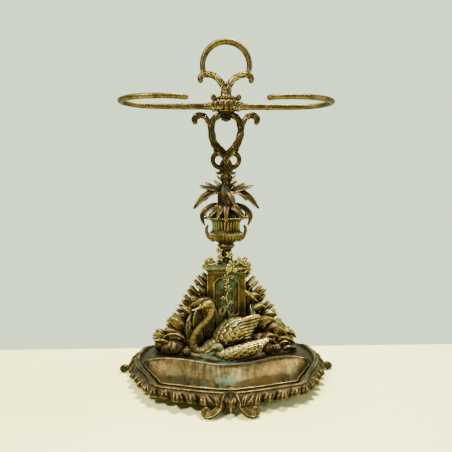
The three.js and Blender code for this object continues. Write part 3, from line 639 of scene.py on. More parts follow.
def build_base_frame(sizes):
    """The base frame: its opening, deck, bead and border of leaves, and the leaves over the front feet."""
    opening, bead, tips = (base_line(half, OUTLINE_POINTS) for half in (OPENING, BEAD, TIPS))
    steps = np.linalg.norm(np.roll(tips, -1, 0) - tips, axis=1)
    run = np.concatenate([[0], np.cumsum(steps)[:-1]])
    front = run[OUTLINE_POINTS // 2]
    away = np.minimum(np.abs(run - front), run[-1] + steps[-1] - np.abs(run - front))
    leafy = 1 - ease(bead[:, 1], -12, 22)
    rows = [
        level(moved_in(opening, 6), LEDGE - 4), level(moved_in(opening, 6), LEDGE), level(opening, LEDGE),
        level(opening, DECK - 0.8), level(moved_in(opening, -0.8), DECK),
    ]
    reach = np.linalg.norm(bead - opening, axis=1)[:, None]
    outward = unit(tips - bead)
    side = ease(bead[:, 1], -208, -190)
    corner = ease(bead[:, 1], -120, -70) * leafy
    half = 3.0 + 1.8 * side + 2.6 * corner
    for share in np.linspace(0.06, 1, 8):
        plan = opening + (bead - opening) * (1 - (half + 1.2)[:, None] / reach) * share
        rows.append(level(plan, DECK + 0.3 * lumps(plan, 26, 3)))
    # The bead: a creased roll at the front, and a twisted one at the rear corners.
    roll = (0.12 + 0.88 * leafy) * (0.35 + 0.65 * side + 0.25 * corner)
    for angle in np.linspace(0, math.pi, 13):
        twist = 0.14 * np.sin(away * 0.62 + 2.4 * angle) * corner * math.sin(angle)
        plan = bead - outward * (half * math.cos(angle) * (1 + 0.5 * twist))[:, None]
        crease = 1.3 * math.exp(-(((angle - 1.9) / 0.25) ** 2)) * side
        rows.append(level(plan, DECK - 0.6 + 6.2 * math.sin(angle) * roll * (1 + twist) - crease))
    # The border: leaves with three or four fingers each, which part towards their ends and droop.
    rng = np.random.default_rng(4)
    length_of = rng.uniform(0.88, 1.05, BORDER_LEAVES)
    lift_of = rng.uniform(-1.2, 1.6, BORDER_LEAVES)
    lean_of = rng.uniform(-0.12, 0.12, BORDER_LEAVES)
    for t in np.linspace(0.2, 1.0, 22):
        place = (away + 5 * np.sin(away / 33) + 12 * t**1.4) / sizes.leaf_width
        number = np.floor(place).astype(int) % BORDER_LEAVES
        group = place % 1
        lobes = np.where(number % 3 == 1, 4.0, 3.0)
        finger = (group * lobes + lean_of[number] + 0.25 * math.sin(2.5 * t)) % 1
        dome = np.sin(math.pi * group)
        ridge = np.sin(math.pi * finger)
        notch = 0.42 * (1 - dome**1.1) + 0.24 * (1 - dome**0.4)
        short = 1 - length_of[number] + leafy * (notch + 0.09 * (1 - ridge**0.7))
        plan = bead + (tips - bead) * (t * (1 - short * t**1.6))[:, None]
        groove = float(ease(t, 0.35, 0.95))
        relief = 6.0 * (dome**0.7 - 0.6) * float(ease(t, 0.1, 0.95)) + 1.35 * groove * (ridge - 0.5)
        curl = 2.0 * math.exp(-(((t - 0.88) / 0.12) ** 2)) * ridge
        arch = 2.6 * math.sin(math.pi * t) - 11.0 * t**1.3 - 2.5 * t**6
        rows.append(level(plan, DECK - 1.4 + arch + leafy * (relief + curl + lift_of[number] * dome * t)))
    # The underside, back to the opening.
    under = rows[-1]
    rows.append(level(under, under[:, 2] - 2.6))
    for share, drop in ((0.72, 5.0), (0.3, 5.0)):
        back = bead + (under * [1, 1, 0] - bead) * share
        rows.append(level(back, DECK - drop - 9 * share**2))
    rows.append(level(moved_in(opening, -4), DECK - 5))
    rows.append(level(opening, LEDGE - 4))
    casting = Casting("base_frame_carved")
    casting.skin(np.stack(rows, 1), loop=True)
    beside = [(6, -233, DECK + 1), (13, -246, DECK - 1), (18, -257, DECK - 9), (18, -262, DECK - 17)]
    for sign in (-1, 1):
        casting.skin(leaf(
            sided(sign, beside), 8, facing=(0, -0.5, 1), thick=4, fold=-0.35, ribs=1, rib=0.8, across=13,
        ))
    casting.skin(leaf(
        [(0, -232, DECK + 3), (0, -248, DECK), (0, -260, DECK - 12), (0, -263, DECK - 26)], 9,
        facing=(0, -0.6, 1), thick=5, fold=-0.55, count=26, across=13,
    ))
    for x, y in ((22, -234), (205, -60), (150, 4)):
        for sign in (-1, 1):
            casting.skin(sweep(
                [(sign * x, y, 24), (sign * x, y, DECK - 4)], 8, side=(1, 0, 0), count=3, round_ends=False,
            ))
    return casting.make("brass_border", ["base_frame"], green=[(-60, -95, DECK, 40), (0, -100, DECK, 60)])


def build_drip_tray(sizes):
    """The loose tray, a thin shell that hangs by its rim."""
    opening, floor = (base_line(half, OUTLINE_POINTS // 2) for half in (OPENING, TRAY_FLOOR))
    gap = sizes.tray_gap
    rim = LEDGE + 0.3
    bottom = rim - TRAY_DEPTH
    notch = np.where(opening[:, 1] < -150, np.exp(-np.abs(opening[:, 0] / 13) ** 1.2), 0)

    def row(inset, z, share=0.0, bite=0.0):
        plan = moved_in(opening, inset)
        plan = evened(plan + (floor - plan) * share, int(6 + 160 * share))
        return level(plan + np.stack([0 * notch, notch * bite, 0 * notch], 1), z + notch * bite * 0.12)

    # From under the floor up the outside, over the lip, and down the inside to the floor.
    rows = [row(0, bottom, 1), row(gap + 6, bottom + 5, 0.5), row(gap + 5, rim), row(gap, rim)]
    rows += [row(gap, rim + 7.4), row(gap + 0.5, rim + 8.2, 0, 3), row(gap + 1.4, rim + 8.5, 0, 9)]
    rows += [row(gap + 2.2, rim + 7.6, 0, 14), row(gap + 2.8, rim + 6.0, 0, 16)]
    for share in np.linspace(0.04, 0.97, 22):
        dent = 0.5 * lumps(evened(moved_in(opening, 9), 30), 34, 5)
        z = bottom + 3 + 18.8 * (1 - share) ** 1.5 + dent * (1 - share)
        rows.append(row(gap + 3.4, z, share, 16 * (1 - share) ** 2))
    casting = Casting("drip_tray_carved")
    casting.skin(np.stack(rows, 0))
    green = [
        (0, -150, 20, 34), (40, -196, 18, 30), (-60, -178, 18, 34), (90, -160, 18, 26), (-110, -140, 20, 26),
    ]
    return casting.make("brass_tray", ["drip_tray"], body="tray", slot="brass_tray", green=green)


def build_feet():
    """The front and side feet, which curl at their ends, and the turned rear feet."""
    made = []

    def fluted(share, angle):
        return 1 + 0.07 * np.cos(5 * angle)

    for side, sign in (("left", -1), ("right", 1)):
        front = Casting(f"front_foot_{side}_carved")
        front.skin(sweep(
            sided(sign, [(12, -236, 30), (18, -247, 22), (26, -255, 14), (36, -259, 8.8), (44, -259, 7.4)]),
            [8.4, 8, 7.4, 7.2, 7.4],
            side=(0.6 * sign, 0.8, 0.2), flat=0.95, sides=42, shape=fluted,
        ))
        front.skin(sweep(
            sided(sign, [(40, -259, 8), (48, -258, 8), (51.5, -257, 13), (47, -256, 17), (42, -256, 15)]),
            [6.8, 7, 6, 5, 4],
            side=(0, 1, 0), sides=24, count=34,
        ))
        front.skin(sweep(
            sided(sign, [(22, -248, 22), (30, -249, 22), (38, -246, 25), (44, -240, 29)]), [4.5, 4.2, 4.5, 5],
            side=(0, 1, 0), sides=20,
        ))
        front.skin(sweep(
            sided(sign, [(7, -242, 33), (15, -256, 24), (24, -264, 15.5), (34, -267, 9), (44, -266, 6)]),
            [1.5, 1.8, 1.8, 1.6, 1.2],
            side=(0, 1, 0), sides=10,
        ))
        made.append(front.make("brass_border", [f"front_foot_{side}"]))
        outer = Casting(f"side_foot_{side}_carved")
        outer.skin(sweep(
            sided(sign, [(197, -58, 21), (212, -58, 18), (226, -57, 13), (238, -57, 9)]), [8, 7, 6, 6.5],
            sides=36, shape=fluted,
        ))
        outer.skin(sweep(
            sided(sign, [(234, -57, 12), (241, -57, 13.5), (247, -57, 10), (244, -57, 6), (238, -57, 6)]),
            [6, 6.5, 6, 5.5, 4], sides=20, count=24,
        ))
        # The side feet take the darker brass: painted shade.
        made.append(outer.make("brass_feet_painted_shade", [f"side_foot_{side}"]))
        rear = Casting(f"rear_foot_{side}_turned")
        profile = [(8.4, 0), (9, 0.8), (9, 6), (8.4, 7.6), (6.4, 9), (6, 14), (6.6, 21), (8, 23.7)]
        rear.skin(lathe(profile, 40) + [sign * 150, 4, 0])
        made.append(rear.make("brass_border", [f"rear_foot_{side}"]))
    return made


# ---- the relief behind the tray ----
def blade_shape():
    """A long narrow leaf, one long and one wide."""
    path = [(0, 0, 0), (0.5, 0, 0.04), (1, 0, 0)]
    return leaf(path, 0.5, facing=(0, 0, 1), thick=0.5, fold=-0.45, count=13, across=7)


def rush_shape():
    """A rush head on its stem, one long and one wide."""
    path = [(0, 0, 0), (0.5, 0, 0.03), (1, 0, 0)]
    heads = [0.28, 0.28, 0.28, 0.28, 0.3, 0.36, 0.46, 0.54, 0.58, 0.6, 0.6, 0.6, 0.58, 0.54, 0.44, 0.2]
    return sweep(path, heads, side=(0, 1, 0), sides=12, count=26, round_ends=False)


def leaning(tip, angle, length, depth, width, thick, facing=(0, -1, 0.1)):
    """A spot for a blade that ends at tip, leaning angle degrees up from the side it points to."""
    sign = math.copysign(1, tip[0])
    along = (sign * math.cos(math.radians(angle)), -0.10, math.sin(math.radians(angle)))
    start = (tip[0] - along[0] * length, depth, tip[1] - along[2] * length)
    return start, along, facing, (length, width, thick)


def build_reed_panel(sizes):
    """The panel: rushes along its edges, blades in front of them, and a plain back with three ribs."""
    rng = np.random.default_rng(11)
    high = span("reed_panel")[1]
    casting = Casting("rushes_carved")
    edge = [
        (140, 38), (148, 46), (138, 64), (125, 84), (113, 102), (102, 120), (91, 138), (79, 158), (65, 180),
        (52, 198), (40, 208),
    ]
    ring = smooth([(x, 0, z) for x, z in edge] + [(-x, 0, z) for x, z in edge[::-1]], 120)
    front, back = high[1] - 5.5, high[1]
    middle = np.array([0, 0, 110])
    rows = [ring * [1, 0, 1] + [0, front, 0]]
    for share, dip in (
        (1, 0), (0.985, 0), (0.965, 1.2), (0.95, 3.2), (0.9, 3.6), (0.8, 3.4), (0.65, 3.2), (0.5, 3.0),
        (0.35, 3.0), (0.2, 3.0), (0.06, 3.0),
    ):
        row = (ring - middle) * share + middle
        rough = 0.7 * lumps(row * [1, 0, 1], 34, 7, 4) * min(dip, 1)
        rows.append(row * [1, 0, 1] + np.stack([0 * rough, back - dip + rough, 0 * rough], 1))
    casting.skin(np.stack(rows, 0))
    for x, top in ((-70, 160), (0, 196), (70, 160)):
        casting.skin(sweep(
            [(x, back - 1.5, 42), (x * 0.8, back - 1.5, top)], [3, 2.4], flat=0.9, sides=14, count=12,
        ))
    tips = smooth([
        (57, 0, 226), (72, 0, 216), (88, 0, 194), (99, 0, 178), (109, 0, 160), (120, 0, 142), (130, 0, 125),
        (141, 0, 106), (154, 0, 86), (167, 0, 62),
    ], sizes.rushes)
    blades, rushes = [], []
    for k, (x, _, z) in enumerate(tips):
        share = k / (len(tips) - 1)
        for sign in (-1, 1):
            angle = 54 - 30 * share + rng.normal(0, 5)
            where = (sign * (x + rng.uniform(-1, 4)), z + rng.uniform(-2, 3))
            depth = rng.uniform(0, 6)
            rushes.append(leaning(where, angle, rng.uniform(50, 60), depth, rng.uniform(8.5, 11), 11))
            inner = (sign * (x - 25 + rng.uniform(-3, 3)), z - 6)
            blades.append(leaning(inner, angle + 14, rng.uniform(44, 60), depth - 5, rng.uniform(10, 14), 12))
    for tier in range(4):
        for x in np.arange(48, 140 - 22 * tier, 9.0):
            for sign in (-1, 1):
                place = x + rng.uniform(-3, 3)
                top = 108 + 34 * tier - 0.36 * (place - 48) + rng.uniform(-8, 8)
                angle = 84 - 0.42 * (place - 48) + rng.normal(0, 8)
                blades.append(leaning(
                    (sign * place, top), angle, rng.uniform(48, 64), 9 - rng.uniform(0, 12),
                    rng.uniform(9, 14), 13,
                ))
    casting.copies(blade_shape(), blades, seed=3, unevenness=0.08)
    casting.copies(rush_shape(), rushes, seed=5, unevenness=0.08)
    return casting.make("brass_relief", ["reed_panel"], green=[(60, 10, 150, 40), (-60, 10, 120, 30)])


def frond(casting, points, half, sign, facing):
    """A thick ribbed leaf from points across, up and deep, on one side."""
    casting.skin(leaf(
        [(sign * x, y, z) for x, z, y in points], half, facing=sided(sign, [facing])[0], thick=5, fold=-0.42,
        ribs=1, rib=0.9, veins=0.35, count=34, across=15, blunt=0.2,
    ))


def scallop(casting, centre, size, seed, floor):
    """A domed rock with ribs that fan up from its foot."""
    rings = blob(centre, size, seed, 1.2, 16, 72, 26)
    around = np.arctan2(rings[..., 2] - centre[2] + 0.8 * size[2], rings[..., 0] - centre[0])
    rings[..., 1] -= 1.3 * np.abs(np.sin(around * 7 + seed)) * (rings[..., 1] < centre[1])
    rings[..., 2] = np.maximum(rings[..., 2], floor)
    casting.skin(rings)


def build_rock_mound():
    """The rocks on the deck and the leaves that grow over them."""
    casting = Casting("rocks_and_leaves_carved")
    front = smooth([
        (-172, -10), (-150, -44), (-100, -56), (-60, -73), (-20, -90), (20, -92), (60, -75), (100, -56),
        (150, -44), (172, -10),
    ], 150)
    back = span("reed_panel")[0][1] - 0.4
    floor = DECK + 0.4
    rows = []
    for share, up in (
        (0, 0), (0.005, 3), (0.03, 8), (0.10, 13), (0.2, 18), (0.32, 24), (0.46, 31), (0.6, 37), (0.7, 40),
    ):
        plan = front * [1 - 0.25 * share, 1, 0]
        plan[:, 1] = back + (plan[:, 1] - back) * (1 - share)
        rise = up * (1 - 0.25 * np.exp(-((plan[:, 0] / 70) ** 2)))
        row = np.column_stack([plan[:, :2], floor + rise])
        bump = lumps(row, 30, 8, 3) * 3.2 * min(1, up / 8)
        row = row + np.column_stack([bump * 0.2, bump * 0.5, bump])
        row[:, 2] = np.maximum(row[:, 2], floor)
        ends = np.array([[row[-1][0], back, row[-1][2]], [row[0][0], back, row[0][2]]])
        rows.append(np.vstack([row, ends]))
    casting.skin(np.stack(rows, 0))
    for centre, size, seed in (
        ((-126, -38, 50), (31, 17, 22), 1), ((-92, -48, 46), (16, 13, 13), 6),
        ((-160, -22, 54), (15, 12, 18), 2), ((96, -46, 50), (17, 14, 18), 3),
        ((118, -40, 50), (15, 13, 17), 4), ((140, -32, 48), (16, 13, 14), 5),
        ((160, -20, 46), (13, 11, 11), 7),
    ):
        scallop(casting, centre, size, seed, floor)
    # Left, from the far end to the neck of the swan.
    for points, half, facing in (
        ([(138, 72, -32), (150, 84, -42), (164, 88, -42), (177, 82, -34)], 12, (0.1, -0.9, 0.7)),
        ([(144, 68, -34), (156, 72, -44), (168, 73, -44), (178, 76, -36)], 9, (0.1, -1, 0.2)),
        ([(144, 80, -36), (154, 92, -42), (163, 96, -40), (171, 93, -34)], 8, (0.1, -0.8, 0.8)),
        ([(148, 42, -32), (156, 56, -38), (160, 76, -36)], 8, (0, -1, 0.3)),
        ([(88, 92, -30), (108, 114, -44), (130, 124, -42), (144, 116, -32)], 16, (0.1, -0.9, 0.8)),
        ([(98, 72, -36), (116, 92, -46), (138, 98, -44), (154, 90, -36)], 12, (0.2, -1, 0.6)),
        ([(84, 60, -42), (94, 88, -48), (94, 112, -42), (84, 134, -30)], 9, (0.5, -1, 0.1)),
        ([(70, 78, -36), (78, 108, -40), (76, 130, -34), (66, 150, -24)], 8, (0.4, -1, 0)),
        ([(26, 160, -26), (42, 170, -40), (62, 169, -46), (84, 157, -38)], 12, (0, -0.8, 0.8)),
        ([(78, 118, -22), (90, 138, -32), (102, 146, -30), (113, 144, -22)], 9, (0.3, -1, 0.5)),
        ([(60, 138, -16), (70, 160, -26), (81, 170, -24), (92, 170, -16)], 8, (0.4, -1, 0.4)),
        ([(108, 88, -24), (120, 106, -32), (132, 113, -30), (143, 110, -22)], 9, (0.3, -1, 0.5)),
        ([(50, 168, -10), (58, 186, -20), (66, 194, -18), (75, 196, -10)], 7, (0.4, -1, 0.4)),
        ([(122, 52, -40), (140, 68, -46), (158, 74, -42), (176, 68, -32)], 9, (0.2, -1, 0.6)),
        ([(96, 60, -44), (102, 80, -52), (122, 90, -52), (144, 84, -46), (156, 66, -38)], 6, (0, -1, 0.6)),
        ([(60, 62, -40), (64, 84, -42), (60, 106, -36)], 7, (0.3, -1, 0)),
        ([(94, 112, -18), (108, 126, -26), (122, 128, -22)], 8, (0.3, -1, 0.5)),
        ([(52, 120, -20), (56, 144, -24), (54, 168, -16)], 7, (0.4, -1, 0)),
    ):
        frond(casting, points, half, -1, facing)
    # Right, from the swan's tail down to the far end.
    for points, half, facing in (
        ([(64, 98, -28), (82, 118, -42), (102, 122, -42), (122, 114, -34)], 12, (0, -0.9, 0.8)),
        ([(92, 86, -34), (112, 104, -48), (132, 98, -46), (148, 74, -36)], 15, (0.3, -1, 0.6)),
        ([(80, 62, -44), (96, 82, -52), (114, 84, -50), (130, 72, -42)], 11, (0.2, -1, 0.6)),
        ([(116, 60, -40), (134, 76, -46), (150, 72, -44), (168, 56, -34)], 10, (0.2, -1, 0.5)),
        ([(132, 42, -44), (146, 54, -48), (158, 52, -44), (172, 42, -32)], 8, (0, -1, 0.6)),
        ([(56, 128, -18), (69, 145, -30), (82, 150, -28), (96, 144, -20)], 9, (0.3, -1, 0.5)),
        ([(88, 118, -20), (102, 132, -30), (114, 132, -28), (126, 122, -20)], 9, (0.3, -1, 0.5)),
        ([(108, 94, -24), (122, 107, -30), (134, 105, -28), (146, 94, -18)], 9, (0.3, -1, 0.5)),
        ([(48, 156, -12), (59, 172, -24), (71, 176, -22), (83, 170, -14)], 8, (0.3, -1, 0.4)),
        ([(38, 188, -14), (52, 180, -26), (66, 168, -28), (78, 154, -20)], 6, (0, -1, 0.5)),
        ([(134, 70, -22), (148, 84, -30), (161, 81, -28), (173, 66, -20)], 9, (0.3, -1, 0.4)),
        ([(72, 54, -50), (80, 72, -58), (96, 78, -58), (112, 70, -54), (120, 54, -46)], 5.5, (0, -1, 0.6)),
        ([(122, 50, -42), (130, 64, -48), (144, 66, -46), (156, 54, -38)], 5.5, (0, -1, 0.6)),
        ([(56, 100, -26), (62, 126, -30), (58, 150, -22)], 8, (-0.4, -1, 0)),
        ([(70, 132, -16), (82, 148, -24), (92, 158, -16)], 8, (0.4, -1, 0.3)),
    ):
        frond(casting, points, half, 1, facing)
    return casting.make(
        "brass_relief", ["rock_mound"], sharp=60,
        green=[
            (-48, -56, 60, 40), (-40, -40, 95, 44), (0, -90, 44, 40), (60, -30, 120, 36), (-70, -30, 150, 30),
        ],
    )


def feather_shape():
    """One rounded feather, one long and one wide."""
    path = [(0, 0, 0), (0.5, 0, 0.05), (1, 0, 0.0)]
    return leaf(path, 0.55, facing=(0, 0, 1), thick=0.24, fold=-0.22, count=9, across=9, blunt=1.0)


def feather_rows(rings, first, last, rows, across, length, width, low=0.9, high=4.1, lift=0.4):
    """Spots for overlapping feathers on the front of a body's rings, from its tail to its breast."""
    n, m = rings.shape[:2]
    middle = rings.mean(1)
    spots = []
    for k, share in enumerate(np.linspace(last, first, rows)):
        i = int(share * (n - 2))
        long, wide = (by_share(values, 50)[int(share * 49)] for values in (length, width))
        for q in range(across):
            angle = low + (high - low) * (q + 0.5 * (k % 2)) / (across - 0.5)
            j = int(round(angle / TAU * m)) % m
            point = rings[i, j]
            out = unit(point - middle[i])
            along = unit(rings[min(i + 2, n - 1), j] - rings[max(i - 2, 0), j])
            spots.append((point + out * lift, along + out * 0.09, out, (long, wide, long * 0.62)))
    return spots


def build_swan():
    """The swan: body, neck, head and three kinds of feather."""
    y = SWAN_Y
    casting = Casting("swan_carved")
    path = flat_path([(-42, 62), (-26, 64), (-6, 76), (18, 91), (42, 104), (62, 116), (77, 128)], y)
    body = sweep(
        path, [10, 14, 18, 19, 18, 13, 5, 2], flat=[1.1, 1.5, 1.6, 1.8, 1.75, 1.6, 1.5, 1.2], sides=64,
        count=60,
    )
    casting.skin(body)
    neck = flat_path(
        [
            (-36, 60), (-56, 48), (-72, 51), (-80, 67), (-76, 87), (-62, 107), (-46, 123), (-37, 138),
            (-37, 152),
        ],
        y - 2,
    )

    def downy(share, angle):
        rings = np.sin(share * TAU * 26 + 2.0 * np.sin(angle) + 1.2 * np.sin(share * 90))
        return 1 + 0.020 * rings + 0.016 * np.sin(7 * angle + share * 60) * np.sin(share * 150 - 2 * angle)

    casting.skin(sweep(
        neck, [15, 12.5, 10.6, 9.4, 8.4, 7.6, 7.2, 7.0, 7.0], sides=32, count=220, shape=downy,
    ))
    head = flat_path([(-33, 150), (-39, 160), (-50, 160), (-62, 154), (-73, 150), (-79, 148)], y - 2)
    casting.skin(sweep(
        head, [6.5, 9.5, 9, 6.2, 4.6, 3.2], flat=[1, 1.1, 1.05, 0.9, 0.65, 0.5], sides=30, count=44,
    ))
    for side in (-8.8, 8.8):
        casting.skin(blob((-51, y - 2 + side, 162), (1.8, 1.4, 1.8), sides=14, rows=8))
    casting.skin(blob((-60, y - 2, 159), (4, 3.4, 2.6), sides=18, rows=10))
    spots = feather_rows(body, 0.10, 0.74, 9, 8, [10, 13, 16, 18, 18, 18], [11, 12, 13, 13, 12, 11])
    casting.copies(feather_shape(), spots, seed=2, unevenness=0.1)
    # The long flight feathers, which fan to the tail.
    for k in range(7):
        base = (26 + 2.5 * k, 124 - 7.2 * k)
        tip = (76 - 3.2 * k, 133 - 8.2 * k)
        depth = y - 19 + 0.9 * k
        middle = ((base[0] + tip[0]) / 2, (base[1] + tip[1]) / 2 + 2)
        casting.skin(leaf(
            [
                (base[0], depth, base[1]), (middle[0], depth - 1.5, middle[1]),
                (tip[0], depth + 12 - k, tip[1]),
            ],
            6.4, thick=4.5, fold=-0.35, ribs=1, rib=0.5, count=26, across=11, blunt=0.6,
        ))
    for k in range(4):
        casting.skin(leaf(
            [(50, y - 2, 114 - 5 * k), (68, y - 3, 123 - 5 * k), (79 - 3 * k, y - 2, 132 - 7 * k)], 6,
            thick=3, fold=-0.3, ribs=1, rib=0.4, across=9, blunt=0.3,
        ))
    green = [(-16, y - 12, 110, 26), (14, y - 12, 126, 26), (-46, y - 8, 66, 24)]
    return casting.make("brass_birds", ["swan"], green=green)


def build_cygnet():
    """The small bird, which lies in front of the swan."""
    casting = Casting("cygnet_carved")
    path = flat_path([
        (-20, 54, -82), (-4, 50, -81), (16, 52, -80), (40, 57, -78), (62, 64, -74), (80, 71, -70),
        (92, 76, -67),
    ])
    body = sweep(
        path, [8, 12, 13.5, 13.5, 11.5, 7.5, 3], flat=[1.1, 1.15, 1.15, 1.2, 1.2, 1.3, 1.2], sides=48,
        count=50,
    )
    casting.skin(body)
    head = flat_path([(-14, 58), (-20, 68), (-30, 68), (-40, 61), (-49, 57)], CYGNET_Y)
    casting.skin(sweep(head, [8, 9.5, 7.5, 4.2, 2.6], flat=[1, 1, 0.95, 0.7, 0.5], sides=28, count=36))
    for side in (-7.4, 7.4):
        casting.skin(blob((-28, CYGNET_Y + side, 70), (1.6, 1.2, 1.6), sides=12, rows=8))
    spots = feather_rows(body, 0.08, 0.90, 11, 6, [9, 11, 13, 14, 13, 12], [9, 10, 10, 9, 8, 6])
    casting.copies(feather_shape(), spots, seed=6, unevenness=0.1)
    for k in range(5):
        casting.skin(leaf(
            [
                (32 + 3 * k, -89 + 0.8 * k, 68 - 4 * k), (60 + k, -86 + k, 72 - 4 * k),
                (92 - 3 * k, -72 - 1.2 * k, 77 - 5 * k),
            ],
            5, thick=3.4, fold=-0.35, ribs=2, rib=0.9, veins=0.5, count=40, across=17, blunt=0.4,
        ))
    return casting.make("brass_birds", ["cygnet"], green=[(-18, -92, 54, 30)])


# ---- the column ----
def ivy_shape():
    """A five-lobed ivy leaf with raised lobes, about one wide."""
    sides = 40
    angle = np.linspace(0, TAU, sides, endpoint=False)
    lobe = 0.31 + 0.20 * np.abs(np.cos(2.5 * angle)) ** 1.3
    rows = []
    for share, up in (
        (0.02, -0.12), (0.95, -0.08), (1.0, -0.02), (0.9, 0.04), (0.6, 0.10), (0.3, 0.10), (0.04, 0.05),
    ):
        vein = 0.03 * np.cos(5 * angle) * math.sin(math.pi * share) * (up > 0)
        radius = lobe * share
        rows.append(np.stack([radius * np.cos(angle), radius * np.sin(angle), up + vein], 1))
    return np.stack(rows, 0)


def rounded_box(half_x, half_y, z, radius, count):
    """A ring of four times count points round a rectangle with rounded corners."""
    out = []
    for sx, sy, start in ((1, 1, 0), (-1, 1, 90), (-1, -1, 180), (1, -1, 270)):
        for a in np.radians(np.linspace(start, start + 90, 6)):
            out.append((
                sx * (half_x - radius) + radius * math.cos(a), sy * (half_y - radius) + radius * math.sin(a),
                z,
            ))
    ring = np.array(out)
    line = np.vstack([ring, ring[:1]])
    length = np.concatenate([[0], np.cumsum(np.linalg.norm(np.diff(line, axis=0), axis=1))])
    at = np.linspace(0, length[-1], count * 4, endpoint=False)
    return np.stack([np.interp(at, length, line[:, k]) for k in range(3)], 1)


def build_pedestal():
    """The pedestal: a recess with cut corners and a vine in it."""
    low, high = span("pedestal")
    half, front, back = 46.0, low[1], high[1]
    foot, top = low[2], high[2]
    across = np.linspace(-1, 1, 93)
    rows = []
    for z in np.linspace(foot, top, 150):
        flare = 8 * (1 - ease(z, foot + 55, foot + 85))
        edge = half + flare
        x = across * edge
        beside, above = 28 - np.abs(x), top - 18 - z
        inside = np.minimum(np.minimum(beside, above), (beside + above - 10) * 0.7)
        depth = 4.5 * ease(inside, 0, 2.0) - 1.8 * np.exp(-(((inside + 2.2) / 1.6) ** 2))
        depth = depth - 1.2 * ease(z, top - 8, top - 2) + 0.35 * lumps(
            np.stack([x, 0 * x, 0 * x + z], 1), 24, 4,
        )
        strip = 0.8 * np.cos(x * 0.9) * ease(inside, 2, 5)
        face = np.stack([x, front + depth + strip * 0.6, 0 * x + z], 1)
        right = np.stack([np.full(8, edge), np.linspace(front + 1, back, 8), np.full(8, z)], 1)
        rear = np.stack([np.linspace(edge, -edge, 12)[1:-1], np.full(10, back), np.full(10, z)], 1)
        left = right[::-1] * [-1, 1, 1]
        rows.append(np.vstack([face, right, rear, left]))
    casting = Casting("pedestal_carved")
    casting.skin(np.stack(rows, 0))
    leaves = [
        ((-3, front - 1, 217), 17), ((11, front - 1, 220), 15), ((4.5, front - 1, 191), 18),
        ((2, front + 2, 205), 8), ((-8, front + 1, 166), 12), ((12, front + 1, 156), 13),
        ((-2, front, 142), 13),
    ]
    rng = np.random.default_rng(2)
    spots = []
    for (x, y, z), size in leaves:
        turn = rng.uniform(0, TAU)
        spots.append((
            (x, y - 1.5, z), (math.cos(turn), -0.1, math.sin(turn)), (rng.normal(0, 0.2), -1, 0.2), size,
        ))
    casting.copies(ivy_shape(), spots, seed=3, unevenness=0.05)
    vine = flat_path([
        (2, 228, front - 1), (5, 212, front - 1), (0, 200, front + 2), (4, 186, front + 3),
        (0, 168, front + 3), (5, 150, front + 2), (0, 136, front),
    ])
    casting.skin(sweep(vine, [1.3, 1.1, 1.1, 0.9], count=60, sides=10))
    for sign in (-1, 1):
        for k, x in enumerate((-20, -10, 12, 22)):
            casting.skin(leaf(
                [(x, front - 1, 96), (x + 3 * sign, front - 3, 124), (x + 9 * sign, front - 3, 150 - 6 * k)],
                5, thick=2.2, fold=-0.3, across=9,
            ))
    return casting.make(
        "brass_column", ["pedestal"],
        green=[(0, front, 200, 36), (10, front, 228, 28), (0, front, 150, 34), (-26, front - 8, 110, 44)],
    )


def build_cap():
    """The moulded cap, and the ivy that hangs over it."""
    low, high = span("pedestal_cap")
    x, y = high[0], high[1]
    profile = [
        (-9, 0), (-7, 0.6), (-5.4, 2.5), (-4.8, 4.5), (-2.5, 5.6), (-0.6, 6.8), (0, 8.5), (0, 11.5),
        (-0.8, 13), (-2.2, 13.4), (-3, 14.5), (-4.2, 16.6), (-6, 18.4), (-9, 19),
    ]
    casting = Casting("pedestal_cap_carved")
    rings = np.stack([rounded_box(x + grow, y + grow, low[2] + up, 3.5, 30) for grow, up in profile], 0)
    casting.skin(rings)
    front = low[1]
    rng = np.random.default_rng(9)
    clusters = [
        (-46, front + 8, 256, 17), (-37, front + 4, 262, 15), (-52, front + 4, 246, 14), (-17, -15, 283, 17),
        (-14, -16, 266, 18), (8, -17, 272, 17), (12, front - 1, 250, 19), (4, front - 2, 240, 13),
        (30, front + 3, 262, 15), (40, front + 4, 256, 17), (51, front + 4, 250, 17),
        (54, front + 6, 238, 13), (24, front + 8, 254, 14), (-26, front + 10, 254, 12),
        (46, front + 14, 262, 12), (20, front - 2, 238, 12),
    ]
    spots = []
    for cx, cy, cz, size in clusters:
        turn = rng.uniform(0, TAU)
        facing = (rng.normal(0, 0.35) + cx * 0.006, -1, 0.5 + rng.normal(0, 0.25))
        spots.append(((cx, cy - 2, cz), (math.cos(turn), 0.1, math.sin(turn)), facing, 1.15 * size))
    casting.copies(ivy_shape(), spots, seed=8, unevenness=0.1)
    for path in (
        [
            (-12, -14, 276), (-16, -13, 262), (-28, front + 6, 252), (-46, front + 6, 249),
            (-52, front + 4, 240),
        ],
        [
            (2, front + 1, 232), (12, front, 244), (24, front + 3, 252), (38, front + 6, 258),
            (50, front + 6, 250),
        ],
        [(14, -14, 274), (15, -15, 260), (20, front + 6, 251), (14, front, 240), (4, front - 1, 232)],
    ):
        casting.skin(sweep(path, [1.4, 1.5, 1.2], side=(0.3, 1, 0), count=50, sides=10))
    for sign in (-1, 1):
        casting.skin(blob((sign * 40, 14, 252), (8, 6, 4), 3, 1.0, 6, 24, 12))
    return casting.make(
        "brass_cap", ["pedestal_cap"],
        green=[(-16, front, 248, 26), (6, front, 240, 26), (26, front + 6, 262, 20), (-40, front, 244, 16)],
    )


